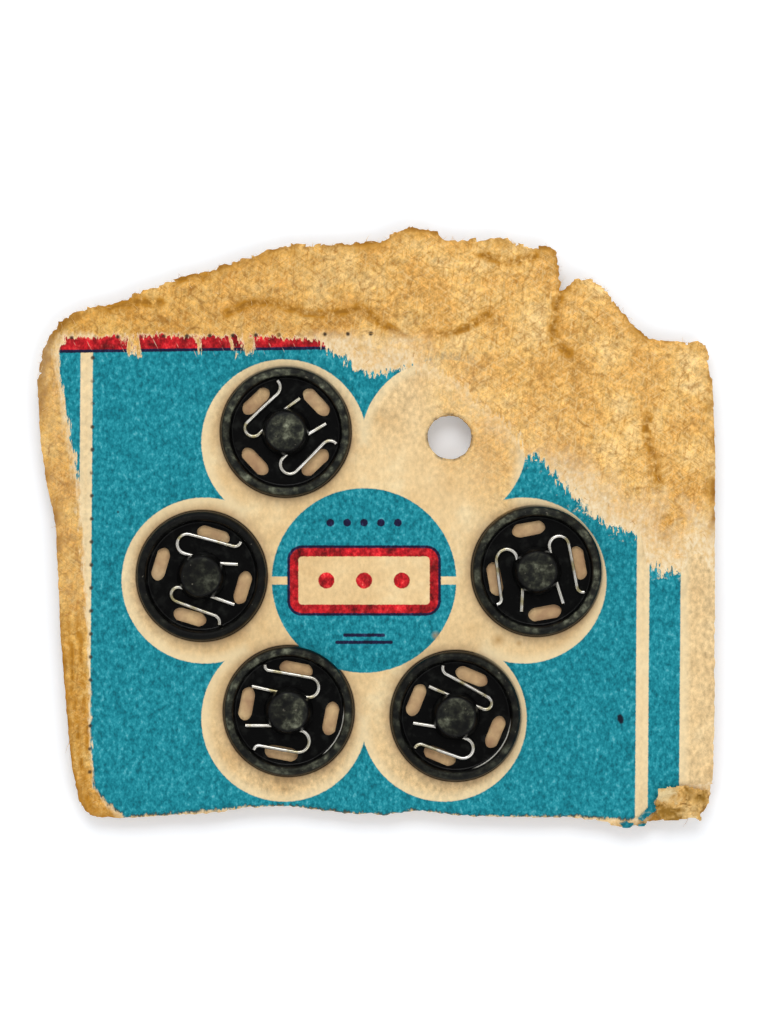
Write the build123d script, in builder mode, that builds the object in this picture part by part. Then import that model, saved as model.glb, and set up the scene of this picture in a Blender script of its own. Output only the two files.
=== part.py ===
from build123d import *
import os

# A torn card of sew-on snap fasteners: five pairs in a ring of six holes, and one bare hole.
# Millimetres. X runs across the card, Y up the card, Z out of its printed front.
# The card lies on its back, on the rims of the five studs, which stand on Z = 0.

# Card: a pulp board with a printed face ply, most of it torn away along the top
CARD_WIDTH = 52.3
CARD_HEIGHT = 46.5
BOARD_THICKNESS = 0.8
FACE_THICKNESS = 0.1
HOLE_DIAMETER = 3.35
RING_DIAMETER = 25.4
RING_CENTRE_SHARES = (0.490, 0.424)

# Both halves of a snap: pressed sheet with a rolled rim and sewing slots
# The rim, the slots and the neck go with the snap's diameter, as from one size of snap to the next
# Rounds that repeat on every snap have flats, each within 0.02 mm of the true round
SNAP_DIAMETER = 10.0
RIM_SIDES = 40
BOSS_SIDES = 20
SHEET_THICKNESS = 0.25
RIM_WIDTH_SHARE = 0.08
RIM_CREST_SHARES = (0.30, 0.72)
SLOT_LENGTH_SHARE = 0.275
SLOT_WIDTH_SHARE = 0.105
SLOT_LAND_SHARE = 0.032
SLOT_CORNER_SHARE = 0.29
SLOT_COUNT = 4

# Socket half, on the front
SOCKET_RIM_HEIGHT = 1.05
SOCKET_EDGE_HEIGHT = 0.65
BOSS_WALL = 0.2
BOSS_FOOT = 0.3
BOSS_SHOULDER = 0.2

# Stud half, behind the card
STUD_RIM_HEIGHT = 0.9
STUD_EDGE_HEIGHT = 0.5
NECK_SHARE = 0.22
BALL_HEIGHT = 0.6
BALL_WIDEST_SHARE = 0.5
BALL_CROWN_SHARE = 0.75

# Wire springs in the socket
WIRE_DIAMETER = 0.3
WIRE_SIDES = 6
BEND_GAP = 0.6
BEND_STEP = 30
FLARE_TURN = 55

# Clearances
WIRE_CLEARANCE = 0.05
WINDOW_CLEARANCE = 0.04
WIRE_LIFT = 0.02
BALL_CLEARANCE = 0.1
CUT_OVERRUN = 0.5

# The torn outline of the card, from the top of its left edge, in shares of its width and height
CARD_OUTLINE_SHARES = [
    (0.000, 0.744), (0.004, 0.797), (0.024, 0.835), (0.047, 0.858), (0.076, 0.869), (0.129, 0.878),
    (0.147, 0.894), (0.182, 0.904), (0.218, 0.924), (0.253, 0.926), (0.288, 0.944), (0.324, 0.955),
    (0.359, 0.970), (0.412, 0.972), (0.465, 0.974), (0.518, 0.982), (0.532, 0.998), (0.553, 1.000),
    (0.588, 0.995), (0.603, 0.980), (0.659, 0.983), (0.697, 0.983), (0.715, 0.967), (0.747, 0.970),
    (0.765, 0.967), (0.775, 0.932), (0.772, 0.891), (0.785, 0.912), (0.806, 0.919), (0.829, 0.911),
    (0.853, 0.879), (0.888, 0.833), (0.906, 0.815), (0.976, 0.812), (0.993, 0.800), (0.996, 0.744),
    (1.000, 0.628), (0.999, 0.182), (0.996, 0.060), (0.982, 0.020), (0.906, 0.013), (0.871, 0.000),
    (0.835, 0.010), (0.800, 0.023), (0.712, 0.023), (0.641, 0.025), (0.553, 0.035), (0.518, 0.026),
    (0.447, 0.031), (0.376, 0.041), (0.306, 0.040), (0.271, 0.031), (0.147, 0.023), (0.094, 0.017),
    (0.074, 0.021), (0.060, 0.050), (0.050, 0.116), (0.035, 0.314), (0.028, 0.504), (0.016, 0.562),
    (0.006, 0.635),
]

# What is left of the printed face, from the top of its left edge, in the same shares
FACE_OUTLINE_SHARES = [
    (0.032, 0.790), (0.038, 0.813), (0.124, 0.817), (0.315, 0.817), (0.415, 0.812), (0.426, 0.793),
    (0.450, 0.783), (0.465, 0.764), (0.494, 0.752), (0.541, 0.762), (0.594, 0.759), (0.629, 0.734),
    (0.650, 0.701), (0.685, 0.678), (0.721, 0.655), (0.726, 0.630), (0.757, 0.620), (0.775, 0.588),
    (0.799, 0.564), (0.818, 0.536), (0.835, 0.511), (0.865, 0.496), (0.924, 0.469), (0.962, 0.466),
    (0.991, 0.446), (0.991, 0.215), (0.990, 0.076), (0.959, 0.076), (0.924, 0.061), (0.900, 0.040),
    (0.873, 0.030), (0.800, 0.036), (0.641, 0.036), (0.553, 0.046), (0.518, 0.038), (0.447, 0.043),
    (0.376, 0.053), (0.306, 0.051), (0.200, 0.040), (0.100, 0.033), (0.082, 0.050), (0.076, 0.149),
    (0.071, 0.446), (0.065, 0.562), (0.053, 0.645), (0.041, 0.717),
]

# Where each hole is off its step of the ring, counted anticlockwise from +X, in snap diameters
HOLE_SHIFT_SHARES = [
    (0.018, 0.019), (-0.016, -0.050), (-0.007, -0.011), (-0.018, -0.019), (0.016, 0.042), (0.030, 0.004),
]

# The steps of the ring that hold a snap, each with the way its springs' inner legs point, in degrees
SNAP_TURNS = {2: 44, 3: -16, 4: 170, 5: 158, 0: -79}

# Levels above the surface that the card lies on
CARD_BOTTOM = STUD_RIM_HEIGHT
BOARD_TOP = CARD_BOTTOM + BOARD_THICKNESS
SOCKET_SEAT = BOARD_TOP + FACE_THICKNESS
SOCKET_FLOOR = SOCKET_SEAT + SHEET_THICKNESS
SOCKET_TOP = SOCKET_SEAT + SOCKET_RIM_HEIGHT
STUD_FLOOR = STUD_RIM_HEIGHT - SHEET_THICKNESS
WIRE_RADIUS = WIRE_DIAMETER / 2
WIRE_LEVEL = SOCKET_FLOOR + WIRE_LIFT + WIRE_RADIUS
NECK_TOP = WIRE_LEVEL + WIRE_RADIUS + WIRE_CLEARANCE
BALL_TOP = NECK_TOP + BALL_HEIGHT
BORE_TOP = BALL_TOP + BALL_CLEARANCE
BOSS_TOP = BORE_TOP + SHEET_THICKNESS

# Radii and distances from a snap's axis
SNAP_RADIUS = SNAP_DIAMETER / 2
RIM_WIDTH = RIM_WIDTH_SHARE * SNAP_DIAMETER
RIM_INNER = SNAP_RADIUS - RIM_WIDTH
CREST_INNER = RIM_INNER + RIM_CREST_SHARES[0] * RIM_WIDTH
CREST_OUTER = RIM_INNER + RIM_CREST_SHARES[1] * RIM_WIDTH
SLOT_LENGTH = SLOT_LENGTH_SHARE * SNAP_DIAMETER
SLOT_WIDTH = SLOT_WIDTH_SHARE * SNAP_DIAMETER
SLOT_RING = RIM_INNER - SLOT_LAND_SHARE * SNAP_DIAMETER - SLOT_WIDTH / 2
SLOT_INNER = SLOT_RING - SLOT_WIDTH / 2
NECK_RADIUS = NECK_SHARE * SNAP_DIAMETER / 2
INNER_LEG = NECK_RADIUS + WIRE_CLEARANCE + WIRE_RADIUS
OUTER_LEG = SLOT_INNER - WIRE_CLEARANCE - WIRE_RADIUS
BORE_RADIUS = INNER_LEG + WIRE_RADIUS + WIRE_CLEARANCE
BALL_RADIUS = BORE_RADIUS - BALL_CLEARANCE
HOLLOW_RADIUS = NECK_RADIUS - SHEET_THICKNESS
BOSS_RADIUS = BORE_RADIUS + BOSS_WALL
BOSS_BASE = BOSS_RADIUS + BOSS_FOOT
WINDOW_WIDTH = WIRE_DIAMETER + 2 * WINDOW_CLEARANCE


def card_points(shares):
    """Points on the card, from shares of its width and height."""
    return [((x - 0.5) * CARD_WIDTH, (y - 0.5) * CARD_HEIGHT) for x, y in shares]


def hole_place(step):
    """The middle of the hole at a step of the ring."""
    centre = Vector(*card_points([RING_CENTRE_SHARES])[0])
    arm = Vector(RING_DIAMETER / 2, 0).rotate(Axis.Z, 360 * step / len(HOLE_SHIFT_SHARES))
    shift = Vector(*HOLE_SHIFT_SHARES[step]) * SNAP_DIAMETER
    return centre + arm + shift


def snap_plane(step):
    """The plane of a snap: its middle on Z = 0, with X along its springs' legs."""
    along = Vector(1, 0).rotate(Axis.Z, SNAP_TURNS[step])
    return Plane(origin=hole_place(step), x_dir=along, z_dir=(0, 0, 1))


def rounds(plane, sides, steps):
    """Sections of a turned form, one for each step of radius and level."""
    sections = []
    for radius, level in steps:
        with BuildSketch(plane.offset(level), mode=Mode.PRIVATE) as section:
            RegularPolygon(radius, sides)
        sections.append(section.sketch)
    return sections


def slot_sketch(plane):
    """The sewing slots, across the snap's two middle lines."""
    with BuildSketch(plane, mode=Mode.PRIVATE) as slots:
        with PolarLocations(SLOT_RING, SLOT_COUNT):
            Rectangle(SLOT_WIDTH, SLOT_LENGTH)
        chamfer(slots.vertices(), SLOT_CORNER_SHARE * SLOT_WIDTH)
    return slots.sketch


def make_socket(plane):
    """A socket half: rolled rim, sunk floor, and a hollow boss with a window each side for a spring."""
    rim = [
        (SNAP_RADIUS, SOCKET_SEAT),
        (SNAP_RADIUS, SOCKET_SEAT + SOCKET_EDGE_HEIGHT),
        (CREST_OUTER, SOCKET_TOP),
    ]
    sink = [(RIM_INNER, SOCKET_FLOOR), (CREST_INNER, SOCKET_TOP), (CREST_INNER, SOCKET_TOP + CUT_OVERRUN)]
    boss = [
        (BOSS_BASE, SOCKET_FLOOR),
        (BOSS_RADIUS, BOSS_TOP - BOSS_SHOULDER),
        (BOSS_RADIUS - BOSS_SHOULDER, BOSS_TOP),
    ]
    bore = [(BORE_RADIUS, SOCKET_SEAT - CUT_OVERRUN), (BORE_RADIUS, BORE_TOP)]
    with BuildPart() as socket:
        loft(rounds(plane, RIM_SIDES, rim), ruled=True)
        loft(rounds(plane, RIM_SIDES, sink), ruled=True, mode=Mode.SUBTRACT)
        loft(rounds(plane, BOSS_SIDES, boss), ruled=True)
        loft(rounds(plane, BOSS_SIDES, bore), ruled=True, mode=Mode.SUBTRACT)
        extrude(
            slot_sketch(plane.offset(SOCKET_SEAT - CUT_OVERRUN)),
            amount=SHEET_THICKNESS + 2 * CUT_OVERRUN,
            mode=Mode.SUBTRACT,
        )
        with BuildSketch(plane.offset(SOCKET_FLOOR)):
            with Locations((0, INNER_LEG), (0, -INNER_LEG)):
                Rectangle(2 * BOSS_BASE, WINDOW_WIDTH)
        extrude(amount=NECK_TOP - SOCKET_FLOOR, mode=Mode.SUBTRACT)
    return socket.part


def make_stud(plane):
    """A stud half: rolled rim, sunk floor, and a hollow neck with a ball that the springs grip."""
    rim = [
        (CREST_OUTER, 0),
        (SNAP_RADIUS, STUD_RIM_HEIGHT - STUD_EDGE_HEIGHT),
        (SNAP_RADIUS, STUD_RIM_HEIGHT),
    ]
    sink = [(CREST_INNER, -CUT_OVERRUN), (CREST_INNER, 0), (RIM_INNER, STUD_FLOOR)]
    ball = [
        (NECK_RADIUS, STUD_RIM_HEIGHT),
        (NECK_RADIUS, NECK_TOP),
        (BALL_RADIUS, NECK_TOP + BALL_WIDEST_SHARE * BALL_HEIGHT),
        (BALL_CROWN_SHARE * BALL_RADIUS, BALL_TOP),
    ]
    hollow = [(HOLLOW_RADIUS, STUD_FLOOR - CUT_OVERRUN), (HOLLOW_RADIUS, BALL_TOP - SHEET_THICKNESS)]
    with BuildPart() as stud:
        loft(rounds(plane, RIM_SIDES, rim), ruled=True)
        loft(rounds(plane, RIM_SIDES, sink), ruled=True, mode=Mode.SUBTRACT)
        loft(rounds(plane, BOSS_SIDES, ball), ruled=True)
        loft(rounds(plane, BOSS_SIDES, hollow), ruled=True, mode=Mode.SUBTRACT)
        extrude(
            slot_sketch(plane.offset(STUD_FLOOR - CUT_OVERRUN)),
            amount=SHEET_THICKNESS + 2 * CUT_OVERRUN,
            mode=Mode.SUBTRACT,
        )
    return stud.part


def bend(centre, radius, start, turn):
    """Points round a bend of the wire, from a start angle through a turn in degrees."""
    steps = round(abs(turn) / BEND_STEP)
    return [centre + Vector(radius, 0).rotate(Axis.Z, start + turn * n / steps) for n in range(steps + 1)]


def make_spring(plane, side):
    """A wire spring: inner leg past the neck, U-bend, outer leg, and an end flared out to the rim."""
    bend_radius = (OUTER_LEG - INNER_LEG) / 2
    bend_middle = Vector(bend_radius + BEND_GAP - SLOT_INNER, INNER_LEG + bend_radius)
    flare_end = Vector(RIM_INNER - WIRE_RADIUS - WIRE_CLEARANCE, 0).rotate(Axis.Z, FLARE_TURN)
    flare_radius = flare_end.Y - OUTER_LEG
    flare_middle = flare_end - Vector(flare_radius, 0)
    points = [Vector(SLOT_INNER, INNER_LEG)]
    points += bend(bend_middle, bend_radius, -90, -180)
    points += bend(flare_middle, flare_radius, -90, 90)
    with BuildPart() as spring:
        with BuildLine(plane.offset(WIRE_LEVEL)) as route:
            Polyline(*[(point.X, side * point.Y) for point in points])
        with BuildSketch(Plane(origin=route.line @ 0, z_dir=route.line % 0)):
            RegularPolygon(WIRE_RADIUS, WIRE_SIDES)
        sweep(path=route.line, transition=Transition.RIGHT)
    return spring.part


def save(piece, name):
    """Label a piece and write it to its own file."""
    piece.label = name
    export_step(piece, f"parts/{name}.step")


os.makedirs("parts", exist_ok=True)

with BuildPart() as card:
    with BuildSketch(Plane.XY.offset(CARD_BOTTOM)):
        with BuildLine():
            Polyline(*card_points(CARD_OUTLINE_SHARES), close=True)
        make_face()
    extrude(amount=BOARD_THICKNESS)
    with BuildSketch(Plane.XY.offset(BOARD_TOP)):
        with BuildLine():
            Polyline(*card_points(FACE_OUTLINE_SHARES), close=True)
        make_face()
    extrude(amount=FACE_THICKNESS)
    with BuildSketch(Plane.XY.offset(CARD_BOTTOM - CUT_OVERRUN)):
        with Locations(*[hole_place(step) for step in range(len(HOLE_SHIFT_SHARES))]):
            Circle(HOLE_DIAMETER / 2)
    extrude(amount=SOCKET_SEAT - CARD_BOTTOM + 2 * CUT_OVERRUN, mode=Mode.SUBTRACT)
save(card.part, "card")

for number, step in enumerate(SNAP_TURNS, start=1):
    middle = snap_plane(step)
    save(make_socket(middle), f"snap_{number}_socket")
    save(make_stud(middle), f"snap_{number}_stud")
    save(make_spring(middle, 1), f"snap_{number}_spring_left")
    save(make_spring(middle, -1), f"snap_{number}_spring_right")
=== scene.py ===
import math
import random

import bmesh
import bpy
import numpy as np
from mathutils import Matrix, Vector, noise


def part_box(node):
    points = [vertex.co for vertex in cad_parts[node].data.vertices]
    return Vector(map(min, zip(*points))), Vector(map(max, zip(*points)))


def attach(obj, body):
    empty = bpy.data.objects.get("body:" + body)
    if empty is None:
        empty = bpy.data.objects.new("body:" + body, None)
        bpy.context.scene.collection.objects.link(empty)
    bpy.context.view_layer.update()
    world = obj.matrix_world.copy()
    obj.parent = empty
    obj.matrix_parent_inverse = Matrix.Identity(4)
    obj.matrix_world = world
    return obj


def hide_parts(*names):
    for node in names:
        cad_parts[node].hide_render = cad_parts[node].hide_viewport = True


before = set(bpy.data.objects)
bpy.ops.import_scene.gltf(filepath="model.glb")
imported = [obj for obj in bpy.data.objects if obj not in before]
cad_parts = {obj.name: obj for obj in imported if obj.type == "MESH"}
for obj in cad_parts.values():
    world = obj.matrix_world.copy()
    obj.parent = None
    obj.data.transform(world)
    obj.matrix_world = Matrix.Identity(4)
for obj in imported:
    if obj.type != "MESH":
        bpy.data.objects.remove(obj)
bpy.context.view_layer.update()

# The looks of a torn card of sew-on snap fasteners, lying on a white table and seen from straight above.
# Sizes are millimetres in the values below, and become metres where they meet the meshes.
MM = 0.001

# Photograph: the point of the card under the lens, and how much of the card's plane fills the frame's height
VIEW_MIDDLE = (0.615, 1.192)
VIEW_HEIGHT = 78.77
LENS = 180.0
SENSOR = 36.0

# Board: the fineness of its sheet, how far its edges are eaten back, and the relief of the torn pulp
SHEET_STEP = 0.23
CORNER_CUTS = (0.55, 0.22)
TORN_FROM = 11.5
TORN_BITE = 0.42
CUT_BITE = 0.10
BOTTOM_FROM = 19.5
BOTTOM_BITE = 0.20
BOTTOM_SAG = 0.22
HOLE_BITE = 0.07
PULP_RELIEF = ((5.0, 0.08), (1.3, 0.08), (0.45, 0.06))
FEATHER_WIDTH = 1.5
FEATHER_DEPTH = 0.24
PLY_SLOPE = 0.16
FACE_PLY = 0.1
EDGE_PLIES = 4
EDGE_FRAY = 0.16
PLY_PITCH = 0.75
SNAP_SEAT = 5.2

# Creases, cracks and lifted ply edges in the torn pulp: points along each, in millimetres on the card
CREASES = [
    [(-11.4, 16.5), (-9.7, 17.3), (-8.2, 17.4), (-6.6, 16.9), (-5.1, 16.5), (-3.5, 16.4)],
    [(-3.2, 16.5), (-1.2, 16.9), (-0.1, 16.1), (1.2, 15.2), (2.6, 14.9)],
    [(4.1, 14.8), (6.0, 15.0), (7.2, 15.5), (8.6, 16.4)],
    [(14.2, 18.1), (13.8, 16.7), (13.6, 15.2), (13.9, 14.2), (14.8, 13.4)],
    [(20.9, 8.6), (20.8, 7.4)],
    [(20.9, 6.9), (21.4, 5.4), (21.8, 3.6)],
    [(-0.8, 6.1), (0.7, 5.8), (2.2, 6.0), (3.7, 6.5)],
    [(1.9, 12.2), (4.2, 10.9), (5.8, 9.9), (6.4, 9.2)],
    [(8.1, 21.0), (10.4, 20.4), (12.2, 20.9)],
    [(-15.6, 19.0), (-14.2, 19.4), (-12.9, 19.2)],
    [(-20.5, 16.9), (-18.3, 17.4), (-16.6, 17.3)],
]
CREASE_WIDTH = 0.62
CREASE_DEPTH = 0.08

# Places where the ink has come away in the red bar, as short strokes: two ends and a half width
BARE_STROKES = [
    ((-19.4, 14.9), (-18.9, 13.5), 0.28),
    ((-18.7, 14.9), (-18.3, 13.2), 0.20),
    ((-13.9, 14.9), (-13.5, 13.5), 0.14),
    ((-11.3, 14.8), (-10.7, 13.2), 0.12),
    ((-10.0, 15.0), (-9.7, 13.6), 0.40),
    ((-24.9, 15.3), (-24.3, 14.4), 0.40),
]

# Upper left corner, where the edge is stained deepest
STAINED_CORNER = (-25.0, 13.8)

# Lower left corner: a line that the face paper has come away beyond, as a point on it and the way in
CORNER_LOSS = ((-21.8, -20.2), (0.631, 0.776))

# How far the face's edge is set out or back in places: the amount, and where it starts and stops across and down. The
# right column is bare at its top, the print runs out to the cut edge at the right and nearly to it along the bottom,
# and the tear above the right snap lies further in.
ALWAYS, NEVER = (-100.0, -99.0), (99.0, 100.0)
FACE_SHIFTS = (
    (-1.9, (20.4, 20.8), (23.6, 24.2), (-2.0, 0.0), (5.0, 6.5)),
    (0.9, (21.5, 23.0), NEVER, (3.0, 5.0), (18.8, 19.8)),
    (0.62, (-21.6, -20.6), (20.8, 21.4), (18.5, 20.0), NEVER),
    (-0.6, (9.5, 11.0), (20.0, 20.6), ALWAYS, (-1.5, 0.5)),
)

# Print on the face, in millimetres on the card. The press left the columns and the bar a little out of square.
COLUMN_LEAN = 0.0075
BAR_LEAN = 0.0131
TEAL_COLUMNS = ((-26.0, -22.82), (-21.88, 20.09), (21.06, 23.47))
RULE_LOW = 13.74
RULE_HIGH = 13.98
PETAL_MIDDLE = (-0.92, -4.08)
PETAL_RING = 12.27
PETAL_RADIUS = 6.38
PETAL_INNER = 11.0
DISC_RADIUS = 7.1
DISC_LINE = 0.31
LINE_ROUND = 0.15
LABEL_HALF = (4.75, 1.55)
LABEL_ROUND = 0.95
LABEL_EDGING = 0.21
LABEL_FRAME = 0.65
PIP_PITCH, PIP_RADIUS = 2.9, 0.62
DOT_PITCH, DOT_RADIUS, DOT_RISE = 1.3, 0.3, 4.45
LABEL_RULES = ((4.2, 1.5), (4.75, 2.1))
LABEL_RULE_HALF = 0.11
COLUMN_ROUND = 0.2
COLUMN_REACH = 60
INK_SPREAD = 0.09
INK_EDGE = 0.03
TEAR_SPAN = 27.0
TEAR_FOOT = (-8.0, -5.0)
PRICK_PITCH = 1.77
BARE_HOLE = (5.667, 6.965)
BARE_HOLE_RADIUS = 1.675
# Width of the painted shade ring just inside the bare hole's edge, standing for its wall in shadow
HOLE_WALL_SHADE = 0.26
# Painted shadow: a thin dark ring on the paper where each snap's rim meets it, by its radius and half width
SNAP_SHADOW_RING = 4.9
SNAP_SHADOW_HALF = 0.2
SPOTS = (
    ((18.76, -14.55), 0.19, 0.07, "#0D1626"), ((18.86, -14.92), 0.18, 0.07, "#0D1626"),
    ((18.8, -14.72), 0.24, 0.07, "#0D1626"), ((-19.85, 1.2), 0.08, 0.06, "#16323A"),
    ((9.4, -8.65), 0.2, 0.45, "#A97C3C"), ((-9.9, -1.4), 0.3, 0.5, "#C9A063"),
    ((11.0, -8.9), 0.1, 0.2, "#B78C50"), ((4.6, -8.3), 0.1, 0.3, "#B78C50"),
)

# Lower right corner: a crumpled scrap of ply folded back, and flakes of the printed face beside it
CORNER_SCRAP = (
    (21.7, -20.1), (23.2, -19.85), (24.4, -20.0), (25.4, -20.2), (25.6, -21.2), (25.0, -21.7), (25.0, -22.5),
    (24.4, -22.3), (23.2, -22.55), (22.1, -22.5), (21.6, -22.0), (21.45, -21.5), (21.6, -20.8),
)
# Spots where the scrap's painted light and shade is made paler or darker: place across and up, reach, and amount, pale
# above zero and dark below
SCRAP_LIGHT_SHADE_SPOTS = (
    (22.36, -21.98, 0.8, -0.32), (24.95, -20.75, 0.6, -0.28), (23.9, -20.35, 0.5, -0.2), (23.4, -21.7, 0.5, -0.15),
    (22.3, -20.7, 0.7, 0.4), (24.5, -22.2, 0.5, 0.3), (23.2, -21.1, 0.5, 0.2),
)
CORNER_FLAKES = (
    ("card_flake_long", ((20.15, -22.4), (20.5, -22.6), (21.65, -21.65), (21.35, -21.15), (20.8, -21.6)), 1.80, 0.3),
    ("card_flake_low", ((18.7, -22.7), (19.3, -22.6), (19.95, -22.8), (19.6, -23.1), (19.0, -23.12)), 1.70, 0.12),
    ("card_flake_small", ((20.15, -22.8), (20.8, -22.75), (20.7, -22.98), (20.2, -23.0)), 1.68, 0.1),
)
SCRAP_LEVEL = 1.66
SCRAP_STEP = 0.11
SCRAP_PLY = 0.07
EDGE_FIBRES = 380
FACE_FIBRES = 320
FIBRE = 0.017
FIBRE_RUNS = 4
FIBRE_INSET = 0.03

# Snap: levels come from the frame, and these are the sizes across it
SNAP_TURNS = {1: 44, 2: -16, 3: 170, 4: 158, 5: -79}
SHEET = 0.25
SLOT_RING = 3.34
SLOT_LENGTH = 2.62
SLOT_WIDTH = 1.16
SLOT_BOW = 0.75
SLOT_TAPER = 0.25
BOSS_BASE = 2.0
BORE = 1.5
HOLLOW = 0.85
NECK = 1.1
BALL = 1.4
WIRE = 0.138
WIRE_INNER = 1.3
WIRE_OUTER = 2.63
WIRE_END = 2.83
WIRE_BEND_GAP = 0.6
FLARE_REACH = 4.0
# How much paler than new the lacquer of each snap has worn, on its rim and on its boss
JAPAN_TONES = {1: (1.9, 1.9), 2: (0.12, 0.55), 3: (1.25, 1.3), 4: (0.45, 1.05), 5: (1.2, 0.9)}
# Painted highlight inside the rim, a pale glint on its inner wall: for a snap, the middle and half width of the arc in
# degrees
GLINT_ARCS = {3: (-24, 36), 4: (-38, 44)}
# Each spring as it was bent: outer leg's added reach, bend's shift along, outer leg's lean, inner end's splay and
# added length in millimetres, and the turn of the flare in degrees
SPRINGS = {
    (1, "left"): (-0.05, 0.0, -0.05, -0.20, -0.25, 55), (1, "right"): (0.12, 0.0, -0.10, 0.40, -0.16, 57),
    (2, "left"): (0.20, -0.28, 0.05, 0.33, -0.40, 57), (2, "right"): (-0.22, 0.35, 0.27, 0.12, 0.19, 54),
    (3, "left"): (0.37, 0.25, 0.0, 0.37, 0.25, 58), (3, "right"): (0.20, 0.25, 0.0, 0.10, 0.27, 53),
    (4, "left"): (0.23, 0.0, 0.15, 0.42, 0.0, 60), (4, "right"): (-0.35, 0.0, 0.50, 0.05, -0.07, 54),
    (5, "left"): (0.17, -0.10, 0.0, 0.22, 0.0, 55), (5, "right"): (0.28, 0.13, 0.20, 0.45, 0.0, 61),
}
WINDOW = 0.38
WINDOW_HEIGHT = 0.37
ROUND_STEPS = 112
BEND_STEP = 10
RIM_FROM = 3.0
# Radius on the rim's inner wall where the painted glint lies
RIM_GLINT_RING = 4.225
DENT_SIZE, DENT = 2.4, 0.012
# Sections as radius and height: the socket's rim over its seat, the boss's side over the floor and its crown under
# the top, and the stud's rim over the table
SOCKET_RIM = (
    (4.55, 0.0), (4.80, 0.01), (4.92, 0.07), (4.985, 0.19), (5.0, 0.36), (4.985, 0.56), (4.93, 0.75), (4.84, 0.90),
    (4.72, 1.0), (4.58, 1.04), (4.44, 1.01), (4.34, 0.91), (4.28, 0.75), (4.24, 0.55), (4.21, 0.40), (4.17, 0.31),
)
BOSS_SIDE = (
    (4.08, 0.0), (4.05, 0.0), (BOSS_BASE - 0.07, 0.0), (BOSS_BASE - 0.1, 0.0), (BOSS_BASE - 0.13, 0.03),
    (1.82, 0.20), (1.76, 0.50), (1.68, 0.85),
)
BOSS_CROWN = (
    (1.61, 0.28), (1.55, 0.17), (1.47, 0.085), (1.38, 0.03), (1.28, 0.0), (0.9, 0.012), (0.4, 0.018), (0.0, 0.018),
)
STUD_RIM = (
    (4.31, 0.14), (4.40, 0.045), (4.52, 0.005), (4.62, 0.0), (4.74, 0.03), (4.85, 0.10), (4.94, 0.22), (4.99, 0.38),
    (5.0, 0.55), (4.985, 0.70),
)

# Table and room, in metres: the table's radius and the share of its white that burns out by itself, the room's light
# from its walls to straight above, and the lamps with their places, sizes and powers
TABLE_RADIUS = 3.0
TABLE_GLOW = 0.18
ROOM_RISE = (0.86, 0.96)
ROOM_LIGHT = (0.83, 0.05)
LAMPS = (("window", (-0.03, 0.33, 0.42), 0.30, 1.1), ("reflector", (0.26, -0.26, 0.42), 0.30, 0.4))

random.seed(7)


def paint(code):
    """A linear colour from an sRGB hex value."""
    parts = [int(code[n:n + 2], 16) / 255 for n in (1, 3, 5)]
    return [c / 12.92 if c <= 0.04045 else ((c + 0.055) / 1.055) ** 2.4 for c in parts] + [1.0]


def plug(tree, node, links):
    """Set a node's inputs to values, or link them to other nodes' outputs."""
    for socket, value in links.items():
        if isinstance(value, bpy.types.NodeSocket):
            tree.links.new(value, node.inputs[socket])
        else:
            node.inputs[socket].default_value = value


def add(tree, kind, links, stops=(), **settings):
    """The outputs of a new node, with its settings and colour stops and its inputs plugged."""
    made = tree.nodes.new("ShaderNode" + kind)
    for name, value in settings.items():
        setattr(made, name, value)
    for n, (place, code) in enumerate(stops):
        element = made.color_ramp.elements[n] if n < 2 else made.color_ramp.elements.new(place)
        element.position, element.color = place, paint(code)
    plug(tree, made, links)
    return made.outputs


def snap_middle(number):
    """Where a snap's axis stands on the card, in millimetres."""
    low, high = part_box(f"snap_{number}_socket")
    return ((low + high) / 2 / MM).xy


def start_material(name):
    """An empty material, its node tree, its surface shader and the place on the piece in millimetres."""
    material = bpy.data.materials.new(name)
    material.use_nodes = True
    tree = material.node_tree
    here = add(tree, "TexCoord", {})["Object"]
    here = add(tree, "VectorMath", {0: here, "Scale": 1 / MM}, operation="SCALE")[0]
    return material, tree, tree.nodes["Principled BSDF"], here


def disc_edge(tree, here, middle, radius):
    """The distance out from a printed disc's edge, in millimetres."""
    flat = add(tree, "VectorMath", {0: here, 1: (1, 1, 0)}, operation="MULTIPLY")[0]
    away = add(tree, "VectorMath", {0: flat, 1: (*middle, 0)}, operation="DISTANCE")["Value"]
    return add(tree, "Math", {0: away, 1: radius}, operation="SUBTRACT")[0]


def panel_edge(tree, here, middle, half, rounding):
    """The distance out from a printed panel's edge, with rounded corners, in millimetres."""
    past = add(tree, "VectorMath", {0: here, 1: (*middle, 0)}, operation="SUBTRACT")[0]
    past = add(tree, "VectorMath", {0: past}, operation="ABSOLUTE")[0]
    past = add(tree, "VectorMath", {0: past, 1: (*half, 0)}, operation="SUBTRACT")[0]
    past = add(tree, "VectorMath", {0: past, 1: (0, 0, 0)}, operation="MAXIMUM")[0]
    away = add(tree, "VectorMath", {0: past}, operation="LENGTH")["Value"]
    return add(tree, "Math", {0: away, 1: rounding}, operation="SUBTRACT")[0]


def nearest(tree, distances):
    """The least of several distances."""
    least = distances[0]
    for distance in distances[1:]:
        least = add(tree, "Math", {0: least, 1: distance}, operation="MINIMUM")[0]
    return least


def lay(tree, under, layers):
    """A stack of colours laid one over another, each by its amount."""
    for amount, colour in layers:
        colour = paint(colour) if isinstance(colour, str) else colour
        under = add(tree, "Mix", {0: amount, 6: under, 7: colour}, data_type="RGBA")[2]
    return under


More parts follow.
